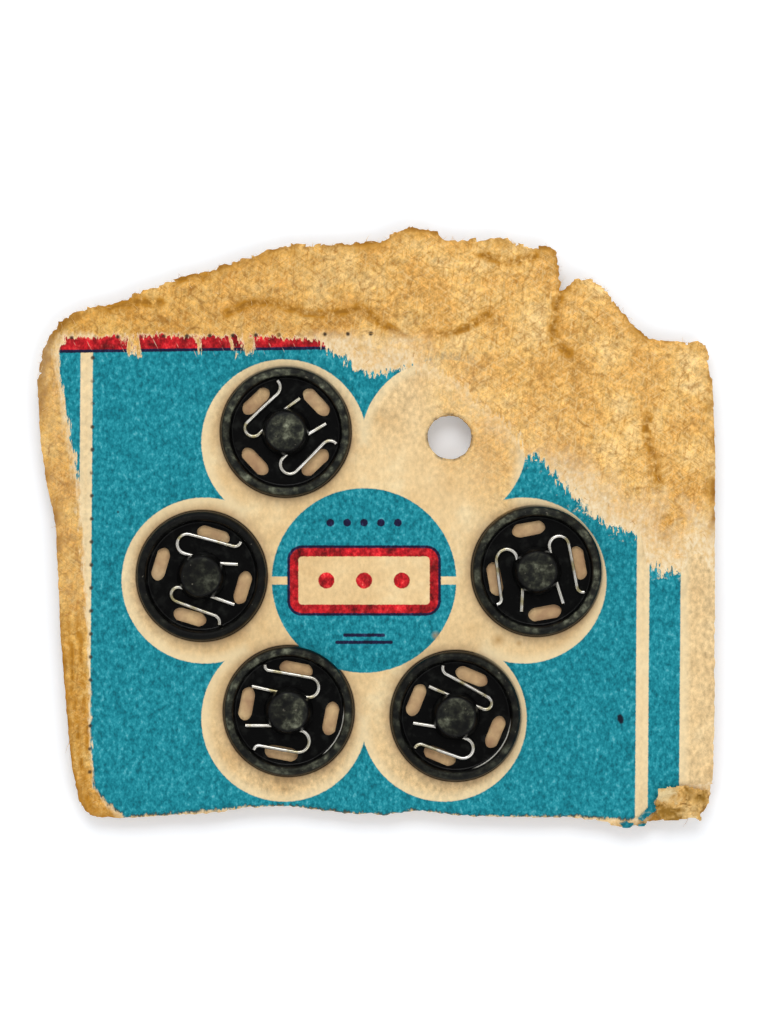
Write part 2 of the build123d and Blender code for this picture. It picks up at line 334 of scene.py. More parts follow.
def pulp_colour(tree, here):
    """Bare pulp: sandy felted fibres in paler and darker drifts, fine ochre cracks and spots where it is bruised."""
    drift = add(tree, "TexNoise", {"Vector": here, "Scale": 1 / 3.0, "Detail": 3.0, "Roughness": 0.5})[0]
    base = add(tree, "ValToRGB", {0: drift}, [
        (0.30, "#CB974A"), (0.43, "#E0AC5E"), (0.55, "#E9BA6C"), (0.72, "#F5D291"),
    ])[0]
    tufts = add(tree, "TexNoise", {"Vector": here, "Scale": 1 / 0.46, "Detail": 3.0, "Roughness": 0.66})[0]
    tufts = add(tree, "MapRange", {0: tufts, 1: 0.3, 2: 0.7, 3: 0.60, 4: 1.36})[0]
    curls = add(tree, "TexNoise", {"Vector": here, "Scale": 1 / 0.5, "Detail": 1.0, "Distortion": 1.6})[0]
    curls = add(tree, "Math", {0: curls, 1: 0.5}, operation="SUBTRACT")[0]
    curls = add(tree, "Math", {0: curls}, operation="ABSOLUTE")[0]
    curls = add(tree, "MapRange", {0: curls, 1: 0.0, 2: 0.13, 3: 1.14, 4: 0.94})[0]
    felt = add(tree, "Math", {0: tufts, 1: curls}, operation="MULTIPLY")[0]
    base = add(tree, "Mix", {0: 1.0, 6: base, 7: felt}, data_type="RGBA", blend_type="MULTIPLY")[2]
    bruise = add(tree, "TexNoise", {"Vector": here, "Scale": 1 / 1.5, "Detail": 5.0, "Roughness": 0.66})[0]
    spots = add(tree, "MapRange", {0: bruise, 1: 0.56, 2: 0.76, 4: 0.8})[0]
    bent = add(tree, "TexNoise", {"Vector": here, "Scale": 1 / 1.1, "Detail": 4.0})["Color"]
    bent = add(tree, "VectorMath", {0: bent, 1: (1.3, 1.3, 1.3), 2: here}, operation="MULTIPLY_ADD")[0]
    cracks = add(tree, "TexVoronoi", {"Vector": bent, "Scale": 1 / 2.4}, feature="DISTANCE_TO_EDGE")[0]
    cracks = add(tree, "MapRange", {0: cracks, 1: 0.05, 2: 0.0, 4: 0.6})[0]
    broken = add(tree, "MapRange", {0: bruise, 1: 0.42, 2: 0.6})[0]
    cracks = add(tree, "Math", {0: cracks, 1: broken}, operation="MULTIPLY")[0]
    layers = [(spots, "#AD792D")]
    for turn, shift in ((32, 0.0), (-38, 9.0), (81, 17.0)):
        links = {0: here, "Location": (shift, 0, 0), "Rotation": (0, 0, math.radians(turn)), "Scale": (0.9, 0.13, 1)}
        strand = add(tree, "Mapping", links, vector_type="TEXTURE")[0]
        strand = add(tree, "TexNoise", {"Vector": strand, "Scale": 1.0, "Detail": 2.0, "Distortion": 0.5})[0]
        pale = add(tree, "MapRange", {0: strand, 1: 0.58, 2: 0.68, 4: 0.5})[0]
        dark = add(tree, "MapRange", {0: strand, 1: 0.42, 2: 0.30, 4: 0.5})[0]
        layers += [(pale, "#F2CF90"), (dark, "#B3741C")]
    return lay(tree, base, layers + [(cracks, "#966010")])


def pulp_bump(tree, here):
    """The felted height of bare pulp."""
    tufts = add(tree, "TexNoise", {"Vector": here, "Scale": 1 / 0.5, "Detail": 5.0, "Roughness": 0.65})[0]
    drawn = add(tree, "VectorMath", {0: here, 1: (1, 0.4, 1)}, operation="MULTIPLY")[0]
    threads = add(tree, "TexNoise", {"Vector": drawn, "Scale": 1 / 0.16, "Detail": 3.0})[0]
    return add(tree, "Math", {0: tufts, 1: threads}, operation="ADD")[0]


def ink_threads(tree, here):
    """The upright mesh of paper threads that shows through letterpress ink."""
    drawn = add(tree, "VectorMath", {0: here, 1: (1, 0.7, 1)}, operation="MULTIPLY")[0]
    fine = add(tree, "TexNoise", {"Vector": drawn, "Scale": 1 / 0.27, "Detail": 4.0, "Roughness": 0.62})[0]
    broad = add(tree, "TexNoise", {"Vector": drawn, "Scale": 1 / 1.1, "Detail": 2.0})[0]
    broad = add(tree, "Math", {0: broad, 1: 0.10, 2: -0.05}, operation="MULTIPLY_ADD")[0]
    return add(tree, "Math", {0: fine, 1: broad}, operation="ADD")[0]


def teal_ink(tree, threads):
    """Teal ink: even from a distance, and darker and paler in threads close to."""
    return add(tree, "ValToRGB", {0: threads}, [
        (0.30, "#00606E"), (0.41, "#047483"), (0.51, "#138594"),
        (0.60, "#2696A5"), (0.71, "#52ACB8"), (0.85, "#8FC5C8"),
    ])[0]


def cream_paper(tree, here, torn):
    """Cream face paper: foxed in soft patches, with a felted grain that is coarser where it is rubbed, a brown halo
    round each snap that is partly rust stain and partly painted shade, and a thin ring of painted shadow where each
    snap's rim meets the paper.
    """
    foxing = add(tree, "TexNoise", {"Vector": here, "Scale": 1 / 4.0, "Detail": 5.0, "Roughness": 0.6})[0]
    paper = add(tree, "ValToRGB", {0: foxing}, [
        (0.30, "#DBB67F"), (0.45, "#E7C691"), (0.58, "#ECCD99"), (0.75, "#F2DBAC"),
    ])[0]
    drawn = add(tree, "VectorMath", {0: here, 1: (1, 0.7, 1)}, operation="MULTIPLY")[0]
    grain = add(tree, "TexNoise", {"Vector": drawn, "Scale": 1 / 0.34, "Detail": 5.0, "Roughness": 0.68})[0]
    shade = add(tree, "MapRange", {0: grain, 1: 0.3, 2: 0.7, 3: 0.58, 4: 1.25})[0]
    rubbed = add(tree, "MapRange", {0: torn, 1: 7.0, 2: 1.0, 3: 0.4, 4: 1.0})[0]
    paper = add(tree, "Mix", {0: rubbed, 6: paper, 7: shade}, data_type="RGBA", blend_type="MULTIPLY")[2]
    # A brown halo on the paper round each snap, deepest near it: partly rust stain and partly painted shade under the
    # snap
    under = add(tree, "Attribute", {}, attribute_name="under_snap")["Fac"]
    snap_halo = add(tree, "TexNoise", {"Vector": here, "Scale": 1 / 1.2, "Detail": 4.0})[0]
    snap_halo = add(tree, "MapRange", {0: snap_halo, 1: 0.15, 2: 0.75})[0]
    snap_halo = add(tree, "Math", {0: under, 1: snap_halo}, operation="MULTIPLY")[0]
    # Painted shadow: a thin dark ring on the paper round each snap's rim
    rings = [disc_edge(tree, here, snap_middle(number), SNAP_SHADOW_RING) for number in SNAP_TURNS]
    snap_shadow = add(tree, "Math", {0: nearest(tree, rings)}, operation="ABSOLUTE")[0]
    snap_shadow = add(tree, "MapRange", {0: snap_shadow, 1: SNAP_SHADOW_HALF + 0.05, 2: SNAP_SHADOW_HALF - 0.04, 4: 0.95})[0]
    return lay(tree, paper, [(snap_halo, "#AC8664"), (snap_shadow, "#15100C")]), grain


def make_printed_face():
    """Letterpress ink on the thin paper face of a pulp board: matt, mottled where the paper's grain shows
    through, and brushed away in ragged streaks along the tear, down to sandy pulp."""
    material, tree, shader, here = start_material("letterpress_print_on_pulp_board")
    names = ("face_inside", "crease", "rim_worn")
    torn, crease, rim = (add(tree, "Attribute", {}, attribute_name=name)["Fac"] for name in names)
    spread = add(tree, "TexNoise", {"Vector": here, "Scale": 1 / 0.16, "Detail": 2.0})["Color"]
    links = {0: spread, 1: (INK_SPREAD, INK_SPREAD, 0), 2: (-INK_SPREAD / 2, -INK_SPREAD / 2, 0)}
    spread = add(tree, "VectorMath", links, operation="MULTIPLY_ADD")[0]
    flat = add(tree, "VectorMath", {0: here, 1: spread}, operation="ADD")[0]
    flat = add(tree, "VectorMath", {0: flat, 1: (1, 1, 0)}, operation="MULTIPLY")[0]
    across = add(tree, "VectorMath", {0: flat, 1: (1, -COLUMN_LEAN, 0)}, operation="DOT_PRODUCT")["Value"]
    up = add(tree, "VectorMath", {0: flat, 1: (-BAR_LEAN, 1, 0)}, operation="DOT_PRODUCT")["Value"]
    leaned = add(tree, "CombineXYZ", {0: across, 1: up})[0]

    # How far across the card a place is, which tells one stretch of the tear from the next, whether it is high enough
    # for the tear, and where the print fades softly beside the bare hole
    columns = add(tree, "MapRange", {0: across, 1: -TEAR_SPAN, 2: TEAR_SPAN})[0]
    upper = add(tree, "MapRange", {0: up, 1: TEAR_FOOT[0], 2: TEAR_FOOT[1]})[0]
    fade = add(tree, "ValToRGB", {0: columns}, [
        (0.0, "#000000"), (0.555, "#000000"), (0.60, "#FFFFFF"), (0.685, "#FFFFFF"), (0.705, "#000000"),
    ])[0]
    fade = add(tree, "Math", {0: fade, 1: upper}, operation="MULTIPLY")[0]
    bare = pulp_colour(tree, here)
    aged = add(tree, "ValToRGB", {0: columns}, [
        (0.03, "#F1EAD0"), (0.12, "#F2ECD6"), (0.30, "#EEE7D8"), (0.46, "#F3EFE6"), (0.60, "#FFFFFF"),
    ])[0]
    bare = add(tree, "Mix", {0: 1.0, 6: bare, 7: aged}, data_type="RGBA", blend_type="MULTIPLY")[2]
    paper, grain = cream_paper(tree, here, torn)
    thin = add(tree, "MapRange", {0: torn, 1: 7.0, 2: 1.5, 4: 0.85})[0]
    thin = add(tree, "Math", {0: thin, 1: fade}, operation="MULTIPLY")[0]
    paper = lay(tree, paper, [(thin, bare)])
    threads = ink_threads(tree, here)
    teal = teal_ink(tree, threads)
    navy = add(tree, "ValToRGB", {0: threads}, [(0.30, "#0B0A22"), (0.55, "#17153A"), (0.80, "#34456A")])[0]
    red = add(tree, "ValToRGB", {0: threads}, [
        (0.30, "#740810"), (0.44, "#A41019"), (0.56, "#BF1C24"), (0.68, "#CF3B38"), (0.82, "#E08A78"),
    ])[0]
    uneven = add(tree, "TexNoise", {"Vector": here, "Scale": 1 / 1.1, "Detail": 5.0, "Roughness": 0.66})[0]
    uneven = add(tree, "MapRange", {0: uneven, 1: 0.32, 2: 0.68, 3: 0.25, 4: 1.75})[0]
    red = add(tree, "Mix", {0: 1.0, 6: red, 7: uneven}, data_type="RGBA", blend_type="MULTIPLY")[2]

    # Teal columns, with a flower of six petals left in cream and a disc in its middle. The cream is cleaner by the ink.
    stripes = []
    for left, right in TEAL_COLUMNS:
        half = ((right - left) / 2 - COLUMN_ROUND, COLUMN_REACH)
        stripes.append(panel_edge(tree, leaned, ((left + right) / 2, 0), half, COLUMN_ROUND))
    petals = [disc_edge(tree, flat, PETAL_MIDDLE, PETAL_INNER)]
    for step in range(6):
        turn = math.radians(60 * step)
        middle = (PETAL_MIDDLE[0] + PETAL_RING * math.cos(turn), PETAL_MIDDLE[1] + PETAL_RING * math.sin(turn))
        petals.append(disc_edge(tree, flat, middle, PETAL_RADIUS))
    outside = add(tree, "Math", {0: nearest(tree, petals), 1: -1.0}, operation="MULTIPLY")[0]
    field = add(tree, "Math", {0: nearest(tree, stripes), 1: outside}, operation="MAXIMUM")[0]
    clean = add(tree, "MapRange", {0: field, 1: 0.9, 2: 0.3, 4: 0.5})[0]
    clean = add(tree, "MapRange", {0: fade, 3: clean, 4: 0.0})[0]
    layers = [(clean, "#F2E0B6")]

    # The ink in order: the field, the disc with its cream line, a plain label in a red frame edged in navy, with red
    # pips, navy dots and two rules, then the bar on its navy rule, and spots of dirt
    label = panel_edge(tree, flat, PETAL_MIDDLE, LABEL_HALF, LABEL_ROUND)
    x, y = PETAL_MIDDLE
    pips = [disc_edge(tree, flat, (x + n * PIP_PITCH, y), PIP_RADIUS) for n in (-1, 0, 1)]
    marks = [disc_edge(tree, flat, (x + n * DOT_PITCH, y + DOT_RISE), DOT_RADIUS) for n in range(-2, 3)]
    for down, half in LABEL_RULES:
        marks.append(panel_edge(tree, flat, (x, y - down), (half, 0.02), LABEL_RULE_HALF))
    line = panel_edge(tree, flat, PETAL_MIDDLE, (DISC_RADIUS, DISC_LINE - LINE_ROUND), LINE_ROUND)
    inks = [
        (field, 0.0, teal), (disc_edge(tree, flat, PETAL_MIDDLE, DISC_RADIUS), 0.0, teal), (line, 0.0, paper),
        (label, LABEL_EDGING, navy), (label, 0.0, red), (label, -LABEL_FRAME, paper),
        (nearest(tree, pips), 0.0, red), (nearest(tree, marks), 0.0, navy),
    ]
    for edge, grown, ink in inks:
        layers.append((add(tree, "MapRange", {0: edge, 1: grown + INK_EDGE, 2: grown - INK_EDGE})[0], ink))
    for level, ink in ((RULE_LOW, navy), (RULE_HIGH, red)):
        layers.append((add(tree, "MapRange", {0: up, 1: level - INK_EDGE, 2: level + INK_EDGE})[0], ink))
    for middle, radius, soft, code in SPOTS:
        edge = disc_edge(tree, flat, middle, radius)
        layers.append((add(tree, "MapRange", {0: edge, 1: soft, 2: -soft})[0], code))

    # Slanting scratches through the bar, down to paper
    links = {0: here, "Rotation": (0, 0, math.radians(-64)), "Scale": (2.0, 0.16, 1)}
    slanted = add(tree, "Mapping", links, vector_type="TEXTURE")[0]
    scratch = add(tree, "TexNoise", {"Vector": slanted, "Scale": 1.0, "Detail": 2.0})[0]
    scratch = add(tree, "MapRange", {0: scratch, 1: 0.67, 2: 0.73, 4: 0.75})[0]
    in_bar = add(tree, "MapRange", {0: up, 1: RULE_LOW - 0.5, 2: RULE_LOW})[0]
    scratch = add(tree, "Math", {0: scratch, 1: in_bar}, operation="MULTIPLY")[0]
    printed = lay(tree, paper, layers + [(scratch, "#EFC9AE")])

    # Bare pulp: brown along its eaten edges, painted shade in its creases and along the ply lines at the lower left,
    # and in places a pale fringe of torn paper on it
    layers = []
    blotch = add(tree, "TexNoise", {"Vector": here, "Scale": 1 / 2.2, "Detail": 4.0, "Roughness": 0.6})[0]
    for near, far, low, high, code in (
        (0.15, 0.9, 0.42, 0.66, "#B9832B"), (0.80, 1.0, 0.42, 0.62, "#915F17"), (1.0, 1.7, 0.0, 0.4, "#94641B"),
    ):
        worn = add(tree, "MapRange", {0: rim, 1: near, 2: far})[0]
        patch = add(tree, "MapRange", {0: blotch, 1: low, 2: high, 4: 0.9})[0]
        layers.append((add(tree, "Math", {0: worn, 1: patch}, operation="MULTIPLY")[0], code))
    broken = add(tree, "TexNoise", {"Vector": here, "Scale": 1 / 0.7, "Detail": 4.0, "Roughness": 0.7})[0]
    broken = add(tree, "MapRange", {0: broken, 1: 0.36, 2: 0.58})[0]
    # Painted shade: brown darkening down in the creases and along the ply lines, beyond the little shade their relief
    # casts
    for near, far, most, code in ((0.02, 0.55, 0.95, "#B67C1E"), (0.66, 0.95, 0.6, "#7E5213")):
        folded = add(tree, "MapRange", {0: crease, 1: near, 2: far, 4: most})[0]
        layers.append((add(tree, "Math", {0: folded, 1: broken}, operation="MULTIPLY")[0], code))
    drawn = add(tree, "VectorMath", {0: here, 1: (1, 0.45, 1)}, operation="MULTIPLY")[0]
    tatter = add(tree, "TexNoise", {"Vector": drawn, "Scale": 1 / 0.9, "Detail": 5.0, "Roughness": 0.66})[0]
    tatter = add(tree, "Math", {0: tatter, 1: 6.0, 2: -3.0}, operation="MULTIPLY_ADD")[0]
    tatter = add(tree, "Math", {0: torn, 1: tatter}, operation="ADD")[0]
    tatter = add(tree, "MapRange", {0: tatter, 1: -4.2, 2: -0.4, 4: 0.95})[0]
    fringed = add(tree, "ValToRGB", {0: columns}, [
        (0.0, "#8A8A8A"), (0.08, "#5A5A5A"), (0.12, "#303030"), (0.38, "#505050"), (0.43, "#FFFFFF"),
        (0.54, "#F0F0F0"), (0.59, "#606060"), (0.69, "#606060"), (0.73, "#FFFFFF"), (1.0, "#FFFFFF"),
    ])[0]
    crown = add(tree, "MapRange", {0: up, 1: 15.4, 2: 14.4})[0]
    for share in (fringed, upper, crown):
        tatter = add(tree, "Math", {0: tatter, 1: share}, operation="MULTIPLY")[0]
    above = add(tree, "MapRange", {0: up, 1: 3.0, 2: 6.5, 4: 0.85})[0]
    beyond = add(tree, "MapRange", {0: across, 1: 8.0, 2: 11.0})[0]
    above = add(tree, "Math", {0: above, 1: beyond}, operation="MULTIPLY")[0]
    tatter = add(tree, "MapRange", {0: above, 3: tatter, 4: 0.0})[0]
    pale = add(tree, "MapRange", {0: grain, 1: 0.36, 2: 0.64})[0]
    pale = add(tree, "Mix", {0: pale, 6: paint("#E3C088"), 7: paint("#F7E6C3")}, data_type="RGBA")[2]
    layers.append((tatter, pale))

    # The tear itself: brushed streaks at its ends, a soft worn fade beside the bare hole, flecks lost from the ink at
    # the right, a pale lip of paper, a dark line at the bottom, and painted shade just inside the bare hole's edge
    drawn = add(tree, "VectorMath", {0: here, 1: (1, 0.2, 1)}, operation="MULTIPLY")[0]
    streaks = add(tree, "TexNoise", {"Vector": drawn, "Scale": 1 / 0.3, "Detail": 5.0, "Roughness": 0.7})[0]
    streaks = add(tree, "Math", {0: streaks, 1: 0.5}, operation="SUBTRACT")[0]
    swing = add(tree, "ValToRGB", {0: columns}, [
        (0.0, "#4A4A4A"), (0.05, "#707070"), (0.40, "#8A8A8A"), (0.46, "#C8C8C8"), (1.0, "#FFFFFF"),
    ])[0]
    swing = add(tree, "Math", {0: swing, 1: upper}, operation="MULTIPLY")[0]
    swing = add(tree, "Math", {0: swing, 1: 3.5, 2: 1.0}, operation="MULTIPLY_ADD")[0]
    streaks = add(tree, "Math", {0: streaks, 1: swing}, operation="MULTIPLY")[0]
    ragged = add(tree, "Math", {0: torn, 1: streaks}, operation="ADD")[0]
    worn = add(tree, "MapRange", {0: up, 1: -2.0, 2: -8.0, 4: 0.27})[0]
    worn = add(tree, "MapRange", {0: across, 1: -20.8, 2: -21.6, 4: worn})[0]
    ragged = add(tree, "Math", {0: ragged, 1: worn}, operation="SUBTRACT")[0]
    soft = add(tree, "MapRange", {0: fade, 3: 0.05, 4: 2.2})[0]
    hard = add(tree, "Math", {0: soft, 1: -1.0}, operation="MULTIPLY")[0]
    shown = add(tree, "MapRange", {0: ragged, 1: hard, 2: soft})[0]
    flecks = add(tree, "TexNoise", {"Vector": here, "Scale": 1 / 0.32, "Detail": 3.0, "Roughness": 0.6})[0]
    flecks = add(tree, "MapRange", {0: flecks, 1: 0.61, 2: 0.67})[0]
    verge = add(tree, "MapRange", {0: torn, 1: 1.1, 2: 0.2})[0]
    for share in (verge, beyond, upper):
        flecks = add(tree, "Math", {0: flecks, 1: share}, operation="MULTIPLY")[0]
    shown = add(tree, "MapRange", {0: flecks, 3: shown, 4: 0.0})[0]
    lower = add(tree, "MapRange", {0: up, 1: -18.0, 2: -20.0})[0]
    wide = add(tree, "MapRange", {0: across, 1: -21.5, 2: -18.5, 3: -0.25, 4: -0.9})[0]
    wide = add(tree, "MapRange", {0: lower, 3: -0.16, 4: wide})[0]
    margin = add(tree, "MapRange", {0: up, 1: -4.0, 2: 8.0, 3: -0.24, 4: -0.6})[0]
    margin = add(tree, "MapRange", {0: across, 1: -21.4, 2: -22.2, 3: -0.16, 4: margin})[0]
    wide = add(tree, "Math", {0: wide, 1: margin}, operation="MINIMUM")[0]
    lip = add(tree, "MapRange", {0: ragged, 1: wide, 2: -0.05, 4: 0.85})[0]
    line = add(tree, "Math", {0: ragged}, operation="ABSOLUTE")[0]
    line = add(tree, "MapRange", {0: line, 1: 0.18, 2: 0.05, 4: 0.85})[0]
    short = add(tree, "MapRange", {0: across, 1: 20.4, 2: 19.8})[0]
    for share in (lower, broken, short):
        line = add(tree, "Math", {0: line, 1: share}, operation="MULTIPLY")[0]
    # Painted shade: a dark ring just inside the bare hole's edge, standing for its wall in shadow
    hole = disc_edge(tree, flat, BARE_HOLE, BARE_HOLE_RADIUS)
    hole = add(tree, "MapRange", {0: hole, 1: HOLE_WALL_SHADE, 2: 0.0})[0]
    hole = add(tree, "Math", {0: hole, 1: broken}, operation="MULTIPLY")[0]
    layers += [(lip, pale), (shown, printed), (line, "#26302C"), (hole, "#4A4136")]

    # Rows of small dark pricks: down the field's left edge, and along the top of the bar and past its end
    for along, sideways, first, place, middle, half, size, depth in (
        (up, across, 13.34, TEAL_COLUMNS[1][0], -2.8, 16.4, 0.21, 0.9),
        (across, up, -12.9, 14.92, -12.0, 12.0, 0.22, 0.95),
    ):
        phase = add(tree, "Math", {0: along, 1: first}, operation="SUBTRACT")[0]
        wave = add(tree, "Math", {0: phase, 1: PRICK_PITCH / 2}, operation="PINGPONG")[0]
        side = add(tree, "Math", {0: sideways, 1: place}, operation="SUBTRACT")[0]
        apart = add(tree, "CombineXYZ", {0: wave, 1: side})[0]
        apart = add(tree, "VectorMath", {0: apart}, operation="LENGTH")["Value"]
        prick = add(tree, "MapRange", {0: apart, 1: size, 2: 0.4 * size, 4: depth})[0]
        left = add(tree, "TexNoise", {"Vector": here, "Scale": 1 / 1.3, "Detail": 1.0})[0]
        left = add(tree, "MapRange", {0: left, 1: 0.30, 2: 0.44})[0]
        reach = add(tree, "Math", {0: along, 1: middle, 2: half}, operation="COMPARE")[0]
        for share in (left, reach):
            prick = add(tree, "Math", {0: prick, 1: share}, operation="MULTIPLY")[0]
        layers.append((prick, "#33271C"))

    height = add(tree, "Math", {0: grain, 1: 0.45}, operation="MULTIPLY")[0]
    on_face = add(tree, "MapRange", {0: torn, 1: -0.3, 2: 0.2})[0]
    height = add(tree, "Mix", {0: on_face, 2: pulp_bump(tree, here), 3: height}, data_type="FLOAT")[0]
    bump = add(tree, "Bump", {"Strength": 0.6, "Distance": 0.09 * MM, "Height": height})[0]
    colour = lay(tree, bare, layers)
    plug(tree, shader, {"Base Color": colour, "Normal": bump, "Roughness": 0.88, "Specular IOR Level": 0.25})
    return material


def make_raw_board():
    """Sandy strawboard, uncoated: thin felted layers at its edges and a dull, faintly mottled back."""
    material, tree, shader, here = start_material("raw_strawboard")
    drawn = add(tree, "VectorMath", {0: here, 1: (1, 1, 9)}, operation="MULTIPLY")[0]
    layers = add(tree, "TexNoise", {"Vector": drawn, "Scale": 1 / 0.7, "Detail": 3.0})[0]
    layers = add(tree, "MapRange", {0: layers, 1: 0.56, 2: 0.40})[0]
    flecks = add(tree, "TexNoise", {"Vector": here, "Scale": 1 / 0.35, "Detail": 3.0, "Roughness": 0.7})[0]
    flecks = add(tree, "MapRange", {0: flecks, 1: 0.66, 2: 0.74})[0]
    facing = add(tree, "SeparateXYZ", {0: add(tree, "NewGeometry", {})["Normal"]})[2]
    facing = add(tree, "Math", {0: facing}, operation="ABSOLUTE")[0]
    at_edge = add(tree, "MapRange", {0: facing, 1: 0.9, 2: 0.5, 3: 0.18, 4: 1.0})[0]
    layers = add(tree, "Math", {0: layers, 1: at_edge}, operation="MULTIPLY")[0]
    colour = lay(tree, pulp_colour(tree, here), [(layers, "#9C7238"), (flecks, "#7A5A30")])
    bump = add(tree, "Bump", {"Strength": 0.6, "Distance": 0.06 * MM, "Height": pulp_bump(tree, here)})[0]
    plug(tree, shader, {"Base Color": colour, "Normal": bump, "Roughness": 0.92, "Specular IOR Level": 0.2})
    return material


def make_crumpled_ply():
    """A torn ply of the board, crumpled: painted highlight along its raised folds and painted shade down in its
    creases, both set by height.
    """
    material, tree, shader, here = start_material("crumpled_pulp_ply")
    fold = add(tree, "Attribute", {}, attribute_name="fold")["Fac"]
    # Painted shade in the low creases and painted highlight on the high folds
    low = add(tree, "MapRange", {0: fold, 1: 0.58, 2: 0.22, 4: 0.92})[0]
    high = add(tree, "MapRange", {0: fold, 1: 0.68, 2: 1.0, 4: 0.7})[0]
    colour = lay(tree, pulp_colour(tree, here), [(0.35, "#B2915A"), (low, "#936B22"), (high, "#E6D4A6")])
    bump = add(tree, "Bump", {"Strength": 0.7, "Distance": 0.06 * MM, "Height": pulp_bump(tree, here)})[0]
    plug(tree, shader, {"Base Color": colour, "Normal": bump, "Roughness": 0.92, "Specular IOR Level": 0.2})
    return material


def make_inked_ply():
    """A flake of the printed face: teal ink, with cream paper at its curled edges."""
    material, tree, shader, here = start_material("inked_face_paper")
    fold = add(tree, "Attribute", {}, attribute_name="fold")["Fac"]
    lifted = add(tree, "MapRange", {0: fold, 1: 0.75, 2: 1.0, 4: 0.8})[0]
    colour = lay(tree, teal_ink(tree, ink_threads(tree, here)), [(0.35, "#0A4A57"), (lifted, "#A9B096")])
    plug(tree, shader, {"Base Color": colour, "Roughness": 0.86, "Specular IOR Level": 0.25})
    return material


def make_loose_fibre():
    """Loose pulp fibres: fine, matt, from straw to brown along the tear."""
    material, tree, shader, here = start_material("loose_pulp_fibre")
    shade = add(tree, "TexNoise", {"Vector": here, "Scale": 1 / 0.8, "Detail": 2.0})[0]
    colour = add(tree, "ValToRGB", {0: shade}, [(0.32, "#A8782F"), (0.48, "#D8AA62"), (0.68, "#EFD6A6")])[0]
    plug(tree, shader, {"Base Color": colour, "Roughness": 0.9, "Specular IOR Level": 0.2})
    return material


def make_japanned_steel():
    """Pressed steel sheet in black japan: glossy where the lacquer is sunk and sheltered, rubbed to a dull,
    mottled charcoal on the rolled rim and the top of the boss, with a painted highlight on the inner wall of some rims."""
    material, tree, shader, here = start_material("black_japanned_steel")
    worn = add(tree, "Attribute", {}, attribute_name="rubbed")["Fac"]
    scuffs = add(tree, "TexNoise", {"Vector": here, "Scale": 1 / 0.45, "Detail": 5.0, "Roughness": 0.7})[0]
    dull = add(tree, "Math", {0: scuffs, 1: 0.9, 2: -0.45}, operation="MULTIPLY_ADD")[0]
    dull = add(tree, "Math", {0: worn, 1: dull}, operation="ADD")[0]
    dull = add(tree, "MapRange", {0: dull, 1: 0.12, 2: 0.75})[0]
    patch = add(tree, "TexNoise", {"Vector": here, "Scale": 1 / 0.75, "Detail": 4.0, "Roughness": 0.6})[0]
    charcoal = add(tree, "ValToRGB", {0: patch}, [
        (0.30, "#060706"), (0.43, "#131411"), (0.53, "#26271F"), (0.63, "#44463A"), (0.76, "#666859"),
    ])[0]
    arcs = add(tree, "TexNoise", {"Vector": here, "Scale": 1 / 2.6, "Detail": 3.0})[0]
    arcs = add(tree, "MapRange", {0: arcs, 1: 0.36, 2: 0.64, 3: 0.35, 4: 1.8})[0]
    tone = add(tree, "Attribute", {}, attribute_name="japan_tone")["Fac"]
    for share in (arcs, tone):
        charcoal = add(tree, "Mix", {0: 1.0, 6: charcoal, 7: share}, data_type="RGBA", blend_type="MULTIPLY")[2]
    sunk = add(tree, "MapRange", {0: patch, 1: 0.52, 2: 0.70, 4: 0.8})[0]
    chips = add(tree, "TexNoise", {"Vector": here, "Scale": 1 / 0.3, "Detail": 2.0})[0]
    chips = add(tree, "MapRange", {0: chips, 1: 0.70, 2: 0.76, 4: 0.8})[0]
    chips = add(tree, "Math", {0: chips, 1: worn}, operation="MULTIPLY")[0]
    # Painted highlight: a pale glint along the inner wall of some rims, broken up by the scuffs
    bright = add(tree, "Attribute", {}, attribute_name="painted_glint")["Fac"]
    bright = add(tree, "Math", {0: bright, 1: scuffs}, operation="MULTIPLY")[0]
    bright = add(tree, "MapRange", {0: bright, 1: 0.12, 2: 0.4})[0]
    layers = [(sunk, "#1C1D1B"), (dull, charcoal), (chips, "#6A665A"), (bright, "#D8D6CC")]
    colour = lay(tree, paint("#030303"), layers)
    gloss = add(tree, "MapRange", {0: dull, 3: 0.34, 4: 0.6})[0]
    bump = add(tree, "Bump", {"Strength": 0.4, "Distance": 0.04 * MM, "Height": scuffs})[0]
    plug(tree, shader, {"Base Color": colour, "Normal": bump, "Roughness": gloss, "Specular IOR Level": 0.14})
    return material


def make_bright_wire():
    """Drawn spring wire, bright tinned: pale silver, with fine die lines and a little yellow tarnish."""
    material, tree, shader, here = start_material("bright_drawn_wire")
    tarnish = add(tree, "TexNoise", {"Vector": here, "Scale": 1 / 0.9, "Detail": 3.0})[0]
    colour = add(tree, "ValToRGB", {0: tarnish}, [(0.34, "#AEA47C"), (0.47, "#D6D2C6"), (0.70, "#EEECE6")])[0]
    lines = add(tree, "TexNoise", {"Vector": here, "Scale": 1 / 0.12, "Detail": 2.0})[0]
    lines = add(tree, "MapRange", {0: lines, 3: 0.24, 4: 0.44})[0]
    plug(tree, shader, {"Base Color": colour, "Roughness": lines, "Metallic": 1.0})
    return material


